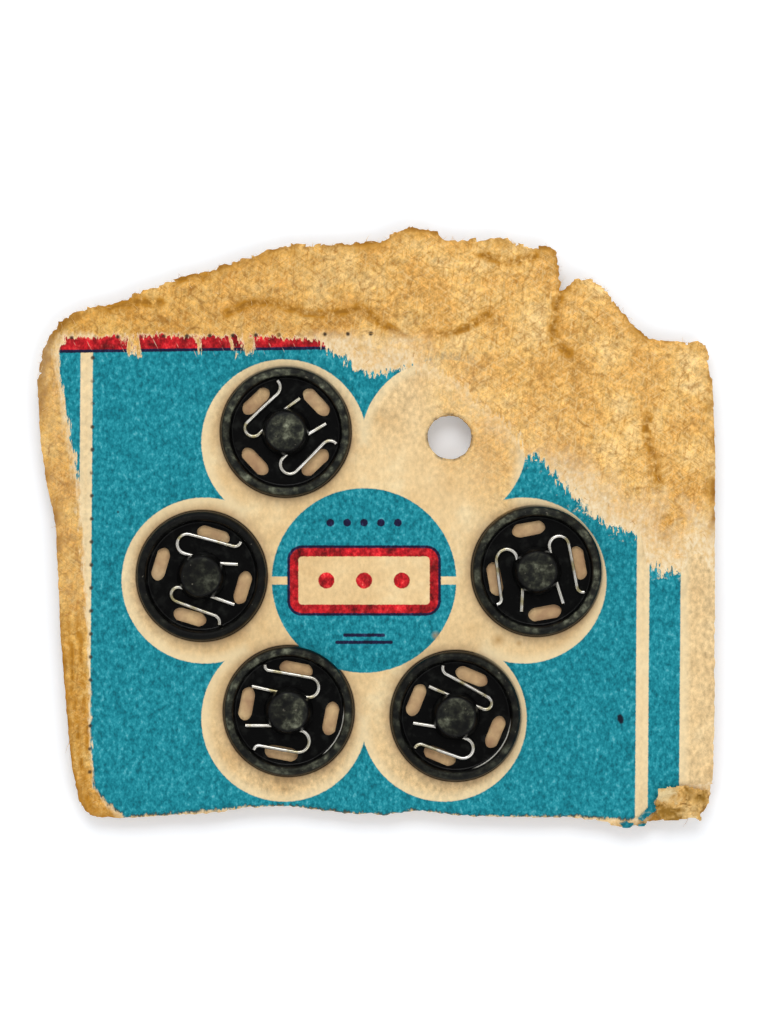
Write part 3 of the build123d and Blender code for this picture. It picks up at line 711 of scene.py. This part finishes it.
def make_table_white():
    """White sheet of table paper: matt, just uneven enough not to be flat, and bright enough to burn out."""
    material, tree, shader, here = start_material("white_table_paper")
    drift = add(tree, "TexNoise", {"Vector": here, "Scale": 1 / 60})[0]
    colour = add(tree, "ValToRGB", {0: drift}, [(0.3, "#EFF3F8"), (0.7, "#F3F7FC")])[0]
    rays = add(tree, "LightPath", {})
    seen = add(tree, "Math", {0: rays["Is Camera Ray"], 1: rays["Is Glossy Ray"]}, operation="MAXIMUM")[0]
    seen = add(tree, "Math", {0: seen, 1: rays["Is Transmission Ray"]}, operation="MAXIMUM")[0]
    glow = add(tree, "Math", {0: seen, 1: TABLE_GLOW}, operation="MULTIPLY")[0]
    plug(tree, shader, {"Base Color": colour, "Emission Color": paint("#FFFFFF"), "Emission Strength": glow})
    plug(tree, shader, {"Roughness": 0.95, "Specular IOR Level": 0.1})
    return material


def edge_loops(faces):
    """The closed loops round a set of flat faces, in millimetres, the widest first."""
    chosen = set(faces)
    following = {}
    for face in faces:
        for corner in face.loops:
            if sum(other in chosen for other in corner.edge.link_faces) == 1:
                following[corner.vert] = corner.link_loop_next.vert
    loops = []
    while following:
        first, point = following.popitem()
        loop = [first]
        while point is not first:
            loop.append(point)
            point = following.pop(point)
        loops.append(np.array([vert.co.xy for vert in loop]) / MM)
    return sorted(loops, key=lambda loop: -np.ptp(loop[:, 0]))


def from_lines(points, starts, ends):
    """How far each point is from the nearest of some straight lines."""
    run = ends - starts
    offset = points[:, None] - starts
    along = np.clip((offset * run).sum(-1) / np.maximum((run ** 2).sum(-1), 1e-12), 0, 1)
    return np.sqrt(((offset - along[..., None] * run) ** 2).sum(-1)).min(1)


def inside_by(points, loop):
    """How far inside a closed loop each point is, and below zero outside it."""
    starts, ends = loop, np.roll(loop, -1, axis=0)
    away = from_lines(points, starts, ends)
    x, y = points[:, :1], points[:, 1:]
    level = np.where(ends[:, 1] == starts[:, 1], 1e-12, ends[:, 1] - starts[:, 1])
    crossing = starts[:, 0] + (y - starts[:, 1]) * (ends[:, 0] - starts[:, 0]) / level
    crossed = ((starts[:, 1] > y) != (ends[:, 1] > y)) & (x < crossing)
    return np.where(crossed.sum(1) % 2 == 1, away, -away)


def cloud(points, size, depth=4, seed=0.0):
    """Cloudy noise at points on the card, between about -1 and 1, with patches of a size."""
    return np.array([noise.fractal(Vector((x / size, y / size, seed)), 0.9, 2.0, depth) for x, y in points])


def ease(value, low, high):
    """A smooth step from 0 at low to 1 at high."""
    t = np.clip((value - low) / (high - low), 0, 1)
    return t * t * (3 - 2 * t)


def rounded(loop, cuts):
    """A closed loop with its corners cut off, by a little less each time."""
    for most in cuts:
        following = np.roll(loop, -1, axis=0)
        run = following - loop
        share = np.minimum(0.3, most / np.maximum(np.hypot(*run.T), 1e-9))[:, None]
        loop = np.stack([loop + run * share, following - run * share], 1).reshape(-1, 2)
    return loop


def squares(low, high, step):
    """A flat grid of squares between two corners, and the middle of each square, in millimetres."""
    sheet = bmesh.new()
    across, up = (max(4, round(length / step)) for length in high - low)
    bmesh.ops.create_grid(sheet, x_segments=across, y_segments=up, size=0.5)
    bmesh.ops.scale(sheet, verts=sheet.verts, vec=(*(high - low) * MM, 1))
    bmesh.ops.translate(sheet, verts=sheet.verts, vec=(*(low + high) / 2 * MM, 0))
    return sheet, np.array([face.calc_center_median().xy for face in sheet.faces]) / MM


def put(name, data):
    """A new object in the scene."""
    made = bpy.data.objects.new(name, data)
    bpy.context.scene.collection.objects.link(made)
    return made


def start_line(name, radius, smoothness):
    """A curve that draws round wires or hairs."""
    line = bpy.data.curves.new(name, "CURVE")
    line.dimensions = "3D"
    line.bevel_depth = radius * MM
    line.bevel_resolution = smoothness
    return line


def drawn_mesh(line):
    """The mesh of what a curve draws."""
    holder = put(line.name, line)
    mesh = bpy.data.meshes.new_from_object(holder.evaluated_get(bpy.context.evaluated_depsgraph_get()))
    bpy.data.objects.remove(holder)
    return mesh


def finish_mesh(mesh, name, body, materials, stands_for=(), sharp=40):
    """Turn a mesh into a piece: shaded, in its materials, riding on its body."""
    mesh.polygons.foreach_set("use_smooth", [True] * len(mesh.polygons))
    mesh.set_sharp_from_angle(angle=math.radians(sharp))
    for material in materials:
        mesh.materials.append(material)
    piece = put(name, mesh)
    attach(piece, body)
    if stands_for:
        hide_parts(*stands_for)


def store(mesh, name, values):
    """Keep a number for each point of a mesh, for its materials to read."""
    kept = mesh.attributes.new(name, "FLOAT", "POINT")
    kept.data.foreach_set("value", np.asarray(values, np.float32))


def read_card():
    """The torn outline, the holes and the edge of the printed face, from the CAD card."""
    shape = bmesh.new()
    shape.from_mesh(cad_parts["card"].data)
    bmesh.ops.remove_doubles(shape, verts=shape.verts, dist=0.001 * MM)
    top = max(vert.co.z for vert in shape.verts)
    back = edge_loops([face for face in shape.faces if face.normal.z < -0.9])
    face = edge_loops([f for f in shape.faces if f.normal.z > 0.9 and f.calc_center_median().z > top - 0.01 * MM])
    shape.free()
    return back[0], back[1:], face[0]


def make_card(materials):
    """The board as one closed sheet: eaten edges, a printed ply that stands proud, and felted torn pulp."""
    outline, holes, printed = read_card()
    outline = rounded(outline, CORNER_CUTS)
    low, high = (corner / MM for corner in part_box("card"))
    board_top = high.z - FACE_PLY
    hole_middles = [loop.mean(0) for loop in holes]
    hole_radius = np.ptp(holes[0][:, 0]) / 2
    snaps = np.array([snap_middle(number) for number in SNAP_TURNS])
    lines = [np.array(line) for line in CREASES]
    crease_starts = np.concatenate([line[:-1] for line in lines])
    crease_ends = np.concatenate([line[1:] for line in lines])

    def kept_by(points):
        across, down = points[:, 0], -points[:, 1]
        bite = np.where(-down > TORN_FROM, TORN_BITE, np.where(down > BOTTOM_FROM, BOTTOM_BITE, CUT_BITE))
        eaten = bite * np.clip(0.5 + 0.5 * cloud(points, 0.9, 4) + 0.55 * cloud(points, 0.34, 3, 5.0), 0, 1.3)
        eaten -= BOTTOM_SAG * ease(down, 18.5, 20.0) * ease(across, -21.0, -19.0) * (1 - ease(across, 15.5, 17.5))
        kept = inside_by(points, outline) - eaten
        for middle in hole_middles:
            away = np.hypot(*(points - middle).T) - hole_radius
            kept = np.minimum(kept, away - HOLE_BITE * np.abs(cloud(points, 0.6, 3, 9.0)))
        return kept

    corners = np.array([low.xy, high.xy])
    sheet, middles = squares(*corners, SHEET_STEP)
    lost = [face for face, kept in zip(sheet.faces[:], kept_by(middles)) if kept < 0]
    bmesh.ops.delete(sheet, geom=lost, context="FACES")
    for _ in range(2):
        spurs = [face for face in sheet.faces if sum(edge.is_boundary for edge in face.edges) >= 3]
        bmesh.ops.delete(sheet, geom=spurs, context="FACES")

    # Pull the stepped border onto the eaten outline
    border = [vert for vert in sheet.verts if vert.is_boundary]
    points = np.array([vert.co.xy for vert in border]) / MM
    for _ in range(3):
        kept = kept_by(points)
        nudge = 0.03
        slope = np.stack([
            kept_by(points + (nudge, 0)) - kept_by(points - (nudge, 0)),
            kept_by(points + (0, nudge)) - kept_by(points - (0, nudge)),
        ], 1) / (2 * nudge)
        slope /= np.maximum(np.hypot(*slope.T), 0.5)[:, None]
        points -= np.clip(kept, -SHEET_STEP, SHEET_STEP)[:, None] * slope * 0.8
    points = np.clip(points, corners[0] + 0.01, corners[1] - 0.01)
    for vert, (x, y) in zip(border, points):
        vert.co.xy = (x * MM, y * MM)

    made = bmesh.ops.extrude_face_region(sheet, geom=sheet.faces[:], use_keep_orig=True)["geom"]
    upper = {element for element in made if isinstance(element, bmesh.types.BMVert)}
    for vert in upper:
        vert.co.z += high.z * MM
    walls = [edge for edge in sheet.edges if (edge.verts[0] in upper) != (edge.verts[1] in upper)]
    bmesh.ops.subdivide_edges(sheet, edges=walls, cuts=EDGE_PLIES - 1)
    bmesh.ops.recalc_face_normals(sheet, faces=sheet.faces)
    for face in sheet.faces:
        face.material_index = 0 if min(vert.co.z for vert in face.verts) > 0.99 * high.z * MM else 1
    mesh = bpy.data.meshes.new("card_sheet")
    sheet.to_mesh(mesh)
    sheet.free()

    flat = np.zeros(len(mesh.vertices) * 3, np.float32)
    mesh.vertices.foreach_get("co", flat)
    spots = flat.reshape(-1, 3).astype(float)
    height_share = spots[:, 2] / (high.z * MM)
    is_upper = height_share > 0.99
    points = spots[:, :2] / MM
    edge = inside_by(points, outline)
    face = inside_by(points, printed)
    for start, end, half in BARE_STROKES:
        face = np.minimum(face, from_lines(points, np.array([start]), np.array([end])) - half)
    across, down = points[:, 0], -points[:, 1]
    for amount, left, right, upper, lower in FACE_SHIFTS:
        inside = ease(across, *left) * (1 - ease(across, *right))
        face += amount * inside * ease(down, *upper) * (1 - ease(down, *lower))
    face = np.minimum(face, (points - CORNER_LOSS[0]) @ np.array(CORNER_LOSS[1]))
    crease = from_lines(points, crease_starts, crease_ends) + 0.12 * cloud(points, 0.6, 3, 8.0)
    plies = ease(-across, 18.5, 20.5) * ease(down, 4.0, 9.0) * (face < 0) * (edge < 1.7)
    plies *= (0.5 + 0.5 * np.cos(2 * math.pi * (edge / PLY_PITCH + 0.3 * cloud(points, 3.0, 2, 12.0)))) ** 2
    near_snap = np.min([np.hypot(*(points - snap).T) for snap in snaps], 0)
    torn_edge = ease(points[:, 1], TORN_FROM - 1.5, TORN_FROM + 1.5)
    relief = sum(depth * cloud(points, size, 3, size) for size, depth in PULP_RELIEF)
    ply = ease(face + 0.25 * cloud(points, 0.8, 3, 2.0), -PLY_SLOPE, PLY_SLOPE)
    top = board_top + (high.z - board_top - 0.008) * ply + (1 - ply) * (relief - 0.02)
    top += 0.006 * cloud(points, 0.5, 3, 3.0) * ply - 0.006
    top -= FEATHER_DEPTH * torn_edge * (1 - ease(edge, 0, FEATHER_WIDTH * (1 + 0.5 * cloud(points, 2.0, 2, 4.0))))
    top -= 0.10 * (1 - ease(edge, 0, 0.35))
    top -= CREASE_DEPTH * (1 - ease(crease, 0, CREASE_WIDTH)) * (1 - ply)
    top -= 0.06 * plies
    corner = ease(across, 20.6, 21.6) * ease(down, 19.4, 20.2)
    top -= corner * (0.18 - 0.12 * np.abs(cloud(points, 0.8, 3, 6.0)))
    top = np.where(near_snap < SNAP_SEAT, np.minimum(top, high.z - 0.006), top)
    back = low.z + 0.012 + 0.01 * cloud(points, 1.5, 3, 7.0) * (near_snap > SNAP_SEAT + 0.1)
    back += 0.12 * torn_edge * (1 - ease(edge, 0, 0.9)) + 0.05 * (1 - ease(edge, 0, 0.25))
    spots[:, 2] = (back + (top - back) * height_share) * MM

    # Fray the plies that show at the edge
    wall = (~is_upper) & (height_share > 0.01) & (height_share < 0.99)
    inward = cloud(points[wall], 0.7, 3, 11.0)
    push = corners.mean(0) - points[wall]
    push /= np.maximum(np.hypot(*push.T), 1e-6)[:, None]
    fray = EDGE_FRAY * np.abs(inward) * (0.4 + np.sin(height_share[wall] * 9.0) ** 2)
    spots[wall, :2] += push * fray[:, None] * MM
    mesh.vertices.foreach_set("co", spots.astype(np.float32).ravel())
    store(mesh, "face_inside", face)
    store(mesh, "crease", np.maximum(1 - ease(crease, 0.0, CREASE_WIDTH), plies))
    stained = 1 - ease(np.hypot(across - STAINED_CORNER[0], -down - STAINED_CORNER[1]), 1.5, 5.0)
    store(mesh, "rim_worn", 1 - ease(edge, 0.1, 1.5 + 0.9 * stained) + stained * (1 - ease(edge, 0.2, 1.4)))
    # How near each point lies to a snap, for the brown halo of rust stain and painted shade round it
    store(mesh, "under_snap", 1 - ease(near_snap, 4.4, 6.0))
    finish_mesh(mesh, "card_sheet", "card", materials, ("card",), 60)
    return outline, spots[is_upper & (face < -0.3)] / MM


def make_scrap(name, loop, level, curl, crumple, materials, seed):
    """A torn scrap of one ply, crumpled and curled up off the board towards its upper left."""
    loop = np.array(loop)
    low, high = loop.min(0), loop.max(0)
    sheet, middles = squares(low, high, SCRAP_STEP)
    kept = inside_by(middles, loop) + 0.25 * crumple * cloud(middles, 0.4, 3, seed)
    bmesh.ops.delete(sheet, geom=[face for face, by in zip(sheet.faces[:], kept) if by < 0], context="FACES")
    bmesh.ops.delete(sheet, geom=[vert for vert in sheet.verts if not vert.link_faces], context="VERTS")
    bmesh.ops.smooth_vert(sheet, verts=sheet.verts, factor=0.5, use_axis_x=True, use_axis_y=True)
    points = np.array([vert.co.xy for vert in sheet.verts]) / MM
    share = (points - low) / (high - low)
    drawn = (points @ np.array([[0.5, 0.3], [0.4, 1.0]])) + 0.4 * cloud(points, 0.9, 3, seed + 7)[:, None]
    ridges = 1 - 0.8 * np.abs(cloud(drawn, 0.8, 3, seed + 3)) - 0.5 * np.abs(cloud(drawn, 0.3, 2, seed + 9))
    lift = ease(share[:, 1] - share[:, 0], 0.0, 1.0)
    heights = level + crumple * ridges + curl * lift + 0.05 * cloud(points, 0.35, 2, seed + 5)
    for vert, height in zip(sheet.verts, heights):
        vert.co.z = height * MM
    bmesh.ops.recalc_face_normals(sheet, faces=sheet.faces)
    bmesh.ops.solidify(sheet, geom=sheet.faces[:], thickness=SCRAP_PLY * MM)
    mesh = bpy.data.meshes.new(name)
    sheet.to_mesh(mesh)
    sheet.free()
    # Height across a scrap, with the listed spots added, for its material: painted light and shade on the crumpled ply,
    # paper at the curled edges of a flake
    levels = np.array([vert.co.z for vert in mesh.vertices])
    fold = (levels - levels.min()) / np.ptp(levels)
    points = np.array([vert.co.xy for vert in mesh.vertices]) / MM
    for x, y, reach, amount in SCRAP_LIGHT_SHADE_SPOTS:
        fold += amount * (1 - ease(np.hypot(points[:, 0] - x, points[:, 1] - y), 0.2 * reach, 1.4 * reach))
    store(mesh, "fold", np.clip(fold, 0, 1))
    finish_mesh(mesh, name, "card", materials, (), 70)


def make_fibres(outline, pulp, material):
    """Loose fibres that stand out along the tear and lie about on the torn pulp."""
    low, high = (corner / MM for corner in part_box("card"))
    starts, ends = outline, np.roll(outline, -1, axis=0)
    lengths = np.hypot(*(ends - starts).T) * np.where(starts[:, 1] > TORN_FROM - 2, 1.0, 0.12)
    hairs = start_line("card_fibres", FIBRE, 0)
    picks = random.choices(range(len(starts)), weights=lengths, k=EDGE_FIBRES)
    for n in range(EDGE_FIBRES + FACE_FIBRES):
        if n < EDGE_FIBRES:
            pick = picks[n]
            run = Vector(ends[pick] - starts[pick])
            out = Vector((-run.y, run.x)).normalized()
            spot = Vector(starts[pick]) + run * random.random() - out * random.uniform(0.4, 0.75)
            level, reach = random.uniform(1.1, 1.4), random.uniform(0.3, 0.65)
            heading = out @ Matrix.Rotation(random.uniform(-1.1, 1.1), 2)
            rise = random.uniform(-0.12, 0.12)
        else:
            place = pulp[random.randrange(len(pulp))]
            spot, level, reach = Vector(place[:2]), place[2] + 0.006, random.uniform(0.3, 1.0)
            turn = random.uniform(0, 2 * math.pi)
            heading, rise = Vector((math.cos(turn), math.sin(turn))), random.uniform(0.0, 0.1)
        bend = random.uniform(-0.7, 0.7)
        spline = hairs.splines.new("POLY")
        spline.points.add(FIBRE_RUNS)
        for k, point in enumerate(spline.points):
            x = min(max(spot.x, low.x + FIBRE_INSET), high.x - FIBRE_INSET)
            y = min(max(spot.y, low.y + FIBRE_INSET), high.y - FIBRE_INSET)
            point.co = (x * MM, y * MM, (level + rise * k / FIBRE_RUNS) * MM, 1)
            point.radius = 1 - 0.16 * k
            heading = heading @ Matrix.Rotation(bend / 2, 2)
            spot = spot + heading * reach / FIBRE_RUNS
    finish_mesh(drawn_mesh(hairs), "card_fibres", "card", [material], (), 80)


def turned(profile):
    """A closed form turned about the snap's axis, from points of radius and level."""
    shape = bmesh.new()
    verts = [shape.verts.new((radius * MM, 0, level * MM)) for radius, level in profile]
    edges = [shape.edges.new(pair) for pair in zip(verts, verts[1:])]
    bmesh.ops.spin(
        shape, geom=verts + edges, cent=(0, 0, 0), axis=(0, 0, 1),
        angle=2 * math.pi, steps=ROUND_STEPS, use_merge=True,
    )
    bmesh.ops.remove_doubles(shape, verts=shape.verts, dist=0.0005 * MM)
    bmesh.ops.recalc_face_normals(shape, faces=shape.faces)
    return shape


def slot_tool(tool, low, high):
    """Four sewing slots, bowed to follow the rim, added to a cutting tool."""
    for quarter in range(4):
        ring = bmesh.ops.create_circle(tool, cap_ends=True, segments=44, radius=SLOT_WIDTH / 2 * MM)["verts"]
        for vert in ring:
            along = vert.co.y / MM + math.copysign((SLOT_LENGTH - SLOT_WIDTH) / 2, vert.co.y)
            reach = SLOT_RING + vert.co.x / MM * (1 - SLOT_TAPER * (2 * along / SLOT_LENGTH) ** 2)
            bent = Vector((reach * math.cos(along / SLOT_RING), reach * math.sin(along / SLOT_RING), low))
            vert.co = Vector((reach, along, low)).lerp(bent, SLOT_BOW) * MM
        bmesh.ops.rotate(tool, verts=ring, cent=(0, 0, 0), matrix=Matrix.Rotation(math.pi / 2 * quarter, 3, "Z"))
        faces = list({face for vert in ring for face in vert.link_faces})
        grown = bmesh.ops.extrude_face_region(tool, geom=faces, use_keep_orig=True)["geom"]
        grown = [element for element in grown if isinstance(element, bmesh.types.BMVert)]
        bmesh.ops.translate(tool, verts=grown, vec=(0, 0, (high - low) * MM))
    bmesh.ops.recalc_face_normals(tool, faces=tool.faces)


def cut_away(shape, tool):
    """What is left of a form after a tool is cut from it."""
    holders = []
    for name, made in (("form", shape), ("tool", tool)):
        mesh = bpy.data.meshes.new(name)
        made.to_mesh(mesh)
        made.free()
        holders.append(put(name, mesh))
    cutter = holders[0].modifiers.new("cut", "BOOLEAN")
    cutter.operation, cutter.solver, cutter.object = "DIFFERENCE", "EXACT", holders[1]
    done = bmesh.new()
    done.from_object(holders[0], bpy.context.evaluated_depsgraph_get())
    for holder in holders:
        mesh = holder.data
        bpy.data.objects.remove(holder)
        bpy.data.meshes.remove(mesh)
    bmesh.ops.remove_doubles(done, verts=done.verts, dist=0.001 * MM)
    return done


def make_socket_form(seat, top):
    """A socket half about its own axis: rolled rim, sunk floor with slots, hollow boss with spring windows."""
    floor = seat + SHEET
    profile = [(0.0, top - SHEET), (BORE, top - SHEET), (BORE, seat)]
    profile += [(radius, seat + height) for radius, height in SOCKET_RIM]
    profile += [(radius, floor + height) for radius, height in BOSS_SIDE]
    profile += [(radius, top - height) for radius, height in BOSS_CROWN]
    tool = bmesh.new()
    slot_tool(tool, seat - 0.3, floor + 0.3)
    for side in (1, -1):
        box = bmesh.ops.create_cube(tool, size=MM)["verts"]
        bmesh.ops.scale(tool, verts=box, vec=(2 * BOSS_BASE + 0.6, WINDOW, WINDOW_HEIGHT))
        level = floor + WINDOW_HEIGHT / 2 + 0.004
        bmesh.ops.translate(tool, verts=box, vec=(0, side * WIRE_INNER * MM, level * MM))
    return cut_away(turned(profile), tool)


def make_stud_form(seat, top, wire_top):
    """A stud half about its own axis: rolled rim, sunk floor with slots, hollow neck and gripping ball."""
    floor = seat - SHEET
    profile = [
        (0.0, top - SHEET), (0.6, top - SHEET - 0.01), (HOLLOW - 0.05, top - SHEET - 0.08),
        (HOLLOW, top - SHEET - 0.2), (HOLLOW, floor + 0.12), (HOLLOW + 0.06, floor + 0.03), (HOLLOW + 0.16, floor),
        (4.06, floor), (4.16, floor - 0.05), (4.21, floor - 0.14), (4.25, floor - 0.3), *STUD_RIM,
        (4.92, seat - 0.07), (4.80, seat - 0.01), (4.60, seat), (NECK + 0.12, seat), (NECK + 0.03, seat + 0.03),
        (NECK, seat + 0.12), (NECK, wire_top - 0.12), (NECK + 0.06, wire_top), (BALL - 0.06, wire_top + 0.14),
        (BALL, wire_top + 0.28), (BALL - 0.05, wire_top + 0.42), (BALL - 0.2, top - 0.08), (BALL - 0.42, top - 0.01),
        (0.6, top), (0.0, top),
    ]
    tool = bmesh.new()
    slot_tool(tool, floor - 0.3, seat + 0.3)
    return cut_away(turned(profile), tool)


def wire_route(side, out, shift, lean, splay, longer, turn):
    """Points along a spring: its inner leg past the neck, a U-bend, the outer leg and its flared end."""
    outer = WIRE_OUTER + out
    bend = (outer - WIRE_INNER) / 2
    bend_middle = Vector((bend + WIRE_BEND_GAP - WIRE_END + shift, WIRE_INNER + bend))
    tip = FLARE_REACH * Vector((math.cos(math.radians(turn)), math.sin(math.radians(turn))))
    flare = tip.y - lean - outer
    flare_middle = tip - Vector((flare, lean))
    end = Vector((WIRE_END + longer, WIRE_INNER + splay))
    route = [end.lerp(Vector((1.0, WIRE_INNER)), n / 6) for n in range(7)]
    for n in range(180 // BEND_STEP + 1):
        angle = math.radians(-90 - BEND_STEP * n)
        route.append(bend_middle + bend * Vector((math.cos(angle), math.sin(angle))))
    for n in range(1, 6):
        route.append(Vector((bend_middle.x, outer)).lerp(Vector((flare_middle.x, outer)), n / 6))
    for n in range(90 // BEND_STEP + 1):
        angle = math.radians(-90 + BEND_STEP * n)
        route.append(flare_middle + flare * Vector((math.cos(angle), math.sin(angle))))
    for point in route[7:]:
        share = min(1, (point.y - WIRE_INNER) / (outer - WIRE_INNER))
        point.y += lean * share * (point.x - bend_middle.x) / (tip.x - bend_middle.x)
    return [Vector((point.x, side * point.y)) for point in route]


def make_wire(name, route, place, level, material, body):
    """A round wire with cut ends, drawn along a route."""
    line = start_line(name, WIRE, 4)
    line.use_fill_caps = True
    spline = line.splines.new("POLY")
    spline.points.add(len(route) - 1)
    for point, spot in zip(spline.points, route):
        point.co = (spot.x * MM, spot.y * MM, level * MM, 1)
    mesh = drawn_mesh(line)
    mesh.transform(place)
    finish_mesh(mesh, name, body, [material], (name.replace("_wire", ""),), 50)


def make_snaps(lacquer, bright):
    """Five pairs of snap halves with their springs, each turned as it was pushed home."""
    low, high = (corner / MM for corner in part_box("snap_1_socket"))
    ball_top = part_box("snap_1_stud")[1].z / MM
    spring_low, spring_high = (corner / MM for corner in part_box("snap_1_spring_left"))
    wire_level = (spring_low.z + spring_high.z) / 2
    socket = make_socket_form(low.z, high.z)
    stud = make_stud_form(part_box("card")[0].z / MM, ball_top, wire_level + WIRE + 0.05)
    for number, turn in SNAP_TURNS.items():
        middle = snap_middle(number) * MM
        place = Matrix.Translation((middle.x, middle.y, 0)) @ Matrix.Rotation(math.radians(turn), 4, "Z")
        for half, form, body in (("socket", socket, f"snap_{number}_front"), ("stud", stud, "card")):
            mesh = bpy.data.meshes.new(f"snap_{number}_{half}_pressing")
            form.to_mesh(mesh)
            levels = np.array([vert.co.z for vert in mesh.vertices]) / MM
            reach = np.array([math.hypot(vert.co.x, vert.co.y) for vert in mesh.vertices]) / MM
            rubbed = ease(-levels, -0.42, -0.08)
            if half == "socket":
                crest = ease(levels, low.z + 0.78, low.z + 1.03)
                rubbed = np.where(reach > RIM_FROM, crest, ease(levels, high.z - 0.05, high.z - 0.02))
            mesh.transform(place)
            for vert in mesh.vertices:
                dent = noise.noise_vector(vert.co / MM / DENT_SIZE + Vector((number * 7.0, 0, 0)))
                vert.co.xy += dent.xy * DENT * MM
            store(mesh, "rubbed", rubbed)
            store(mesh, "japan_tone", np.where(reach > RIM_FROM, *JAPAN_TONES[number]))
            # Painted highlight: a pale glint along the rim's inner wall, in the arcs listed for this snap
            worn = np.zeros(len(levels))
            if half == "socket" and number in GLINT_ARCS:
                arc, width = GLINT_ARCS[number]
                away = np.array([vert.co.xy - middle for vert in mesh.vertices])
                turns = np.degrees(np.arctan2(away[:, 1], away[:, 0]))
                worn = 1 - ease(np.abs(turns - arc), 0.4 * width, width)
                worn *= 1 - ease(np.abs(reach - RIM_GLINT_RING), 0.01, 0.05)
            store(mesh, "painted_glint", worn)
            finish_mesh(mesh, mesh.name, body, [lacquer], (f"snap_{number}_{half}",), 42)
        for side, hand in ((1, "left"), (-1, "right")):
            route = wire_route(side, *SPRINGS[number, hand])
            name = f"snap_{number}_spring_{hand}_wire"
            make_wire(name, route, place, wire_level, bright, f"snap_{number}_front")
    socket.free()
    stud.free()


def light_scene():
    """White table, soft room light that is dimmer behind the camera, and a large soft lamp from the top."""
    floor = bmesh.new()
    bmesh.ops.create_circle(floor, cap_ends=True, segments=96, radius=TABLE_RADIUS)
    mesh = bpy.data.meshes.new("table")
    floor.to_mesh(mesh)
    floor.free()
    mesh.materials.append(make_table_white())
    put("table", mesh)
    world = bpy.data.worlds.new("soft_room")
    bpy.context.scene.world = world
    world.use_nodes = True
    tree = world.node_tree
    sky = add(tree, "TexCoord", {})["Generated"]
    rise = add(tree, "SeparateXYZ", {0: sky})["Z"]
    strength = add(tree, "MapRange", {0: rise, 1: ROOM_RISE[0], 2: ROOM_RISE[1], 3: ROOM_LIGHT[0], 4: ROOM_LIGHT[1]})[0]
    plug(tree, tree.nodes["Background"], {"Color": paint("#FFFFFF"), "Strength": strength})
    for name, spot, size, power in LAMPS:
        lamp = bpy.data.lights.new(name, "AREA")
        lamp.size = size
        lamp.energy = power
        holder = put(name, lamp)
        holder.location = spot
        holder.rotation_euler = Vector(spot).to_track_quat("Z", "Y").to_euler()


def aim_camera():
    """A camera straight above the card, framed as the photograph is."""
    camera = bpy.data.cameras.new("camera")
    camera.lens = LENS
    camera.sensor_width = SENSOR
    camera.clip_start = 0.01
    holder = put("camera", camera)
    card_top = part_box("card")[1].z
    holder.location = (VIEW_MIDDLE[0] * MM, VIEW_MIDDLE[1] * MM, card_top + VIEW_HEIGHT * MM * LENS / SENSOR)
    bpy.context.scene.camera = holder


ply = make_crumpled_ply()
inked = make_inked_ply()
torn_outline, pulp_points = make_card([make_printed_face(), make_raw_board()])
make_scrap("card_corner_scrap", CORNER_SCRAP, SCRAP_LEVEL, 0.25, 0.42, [ply], 21.0)
for number, (name, loop, level, curl) in enumerate(CORNER_FLAKES):
    make_scrap(name, loop, level, curl, 0.1, [inked], 31.0 + number)
make_fibres(torn_outline, pulp_points, make_loose_fibre())
make_snaps(make_japanned_steel(), make_bright_wire())
light_scene()
aim_camera()
bpy.context.scene.view_settings.view_transform = "Standard"
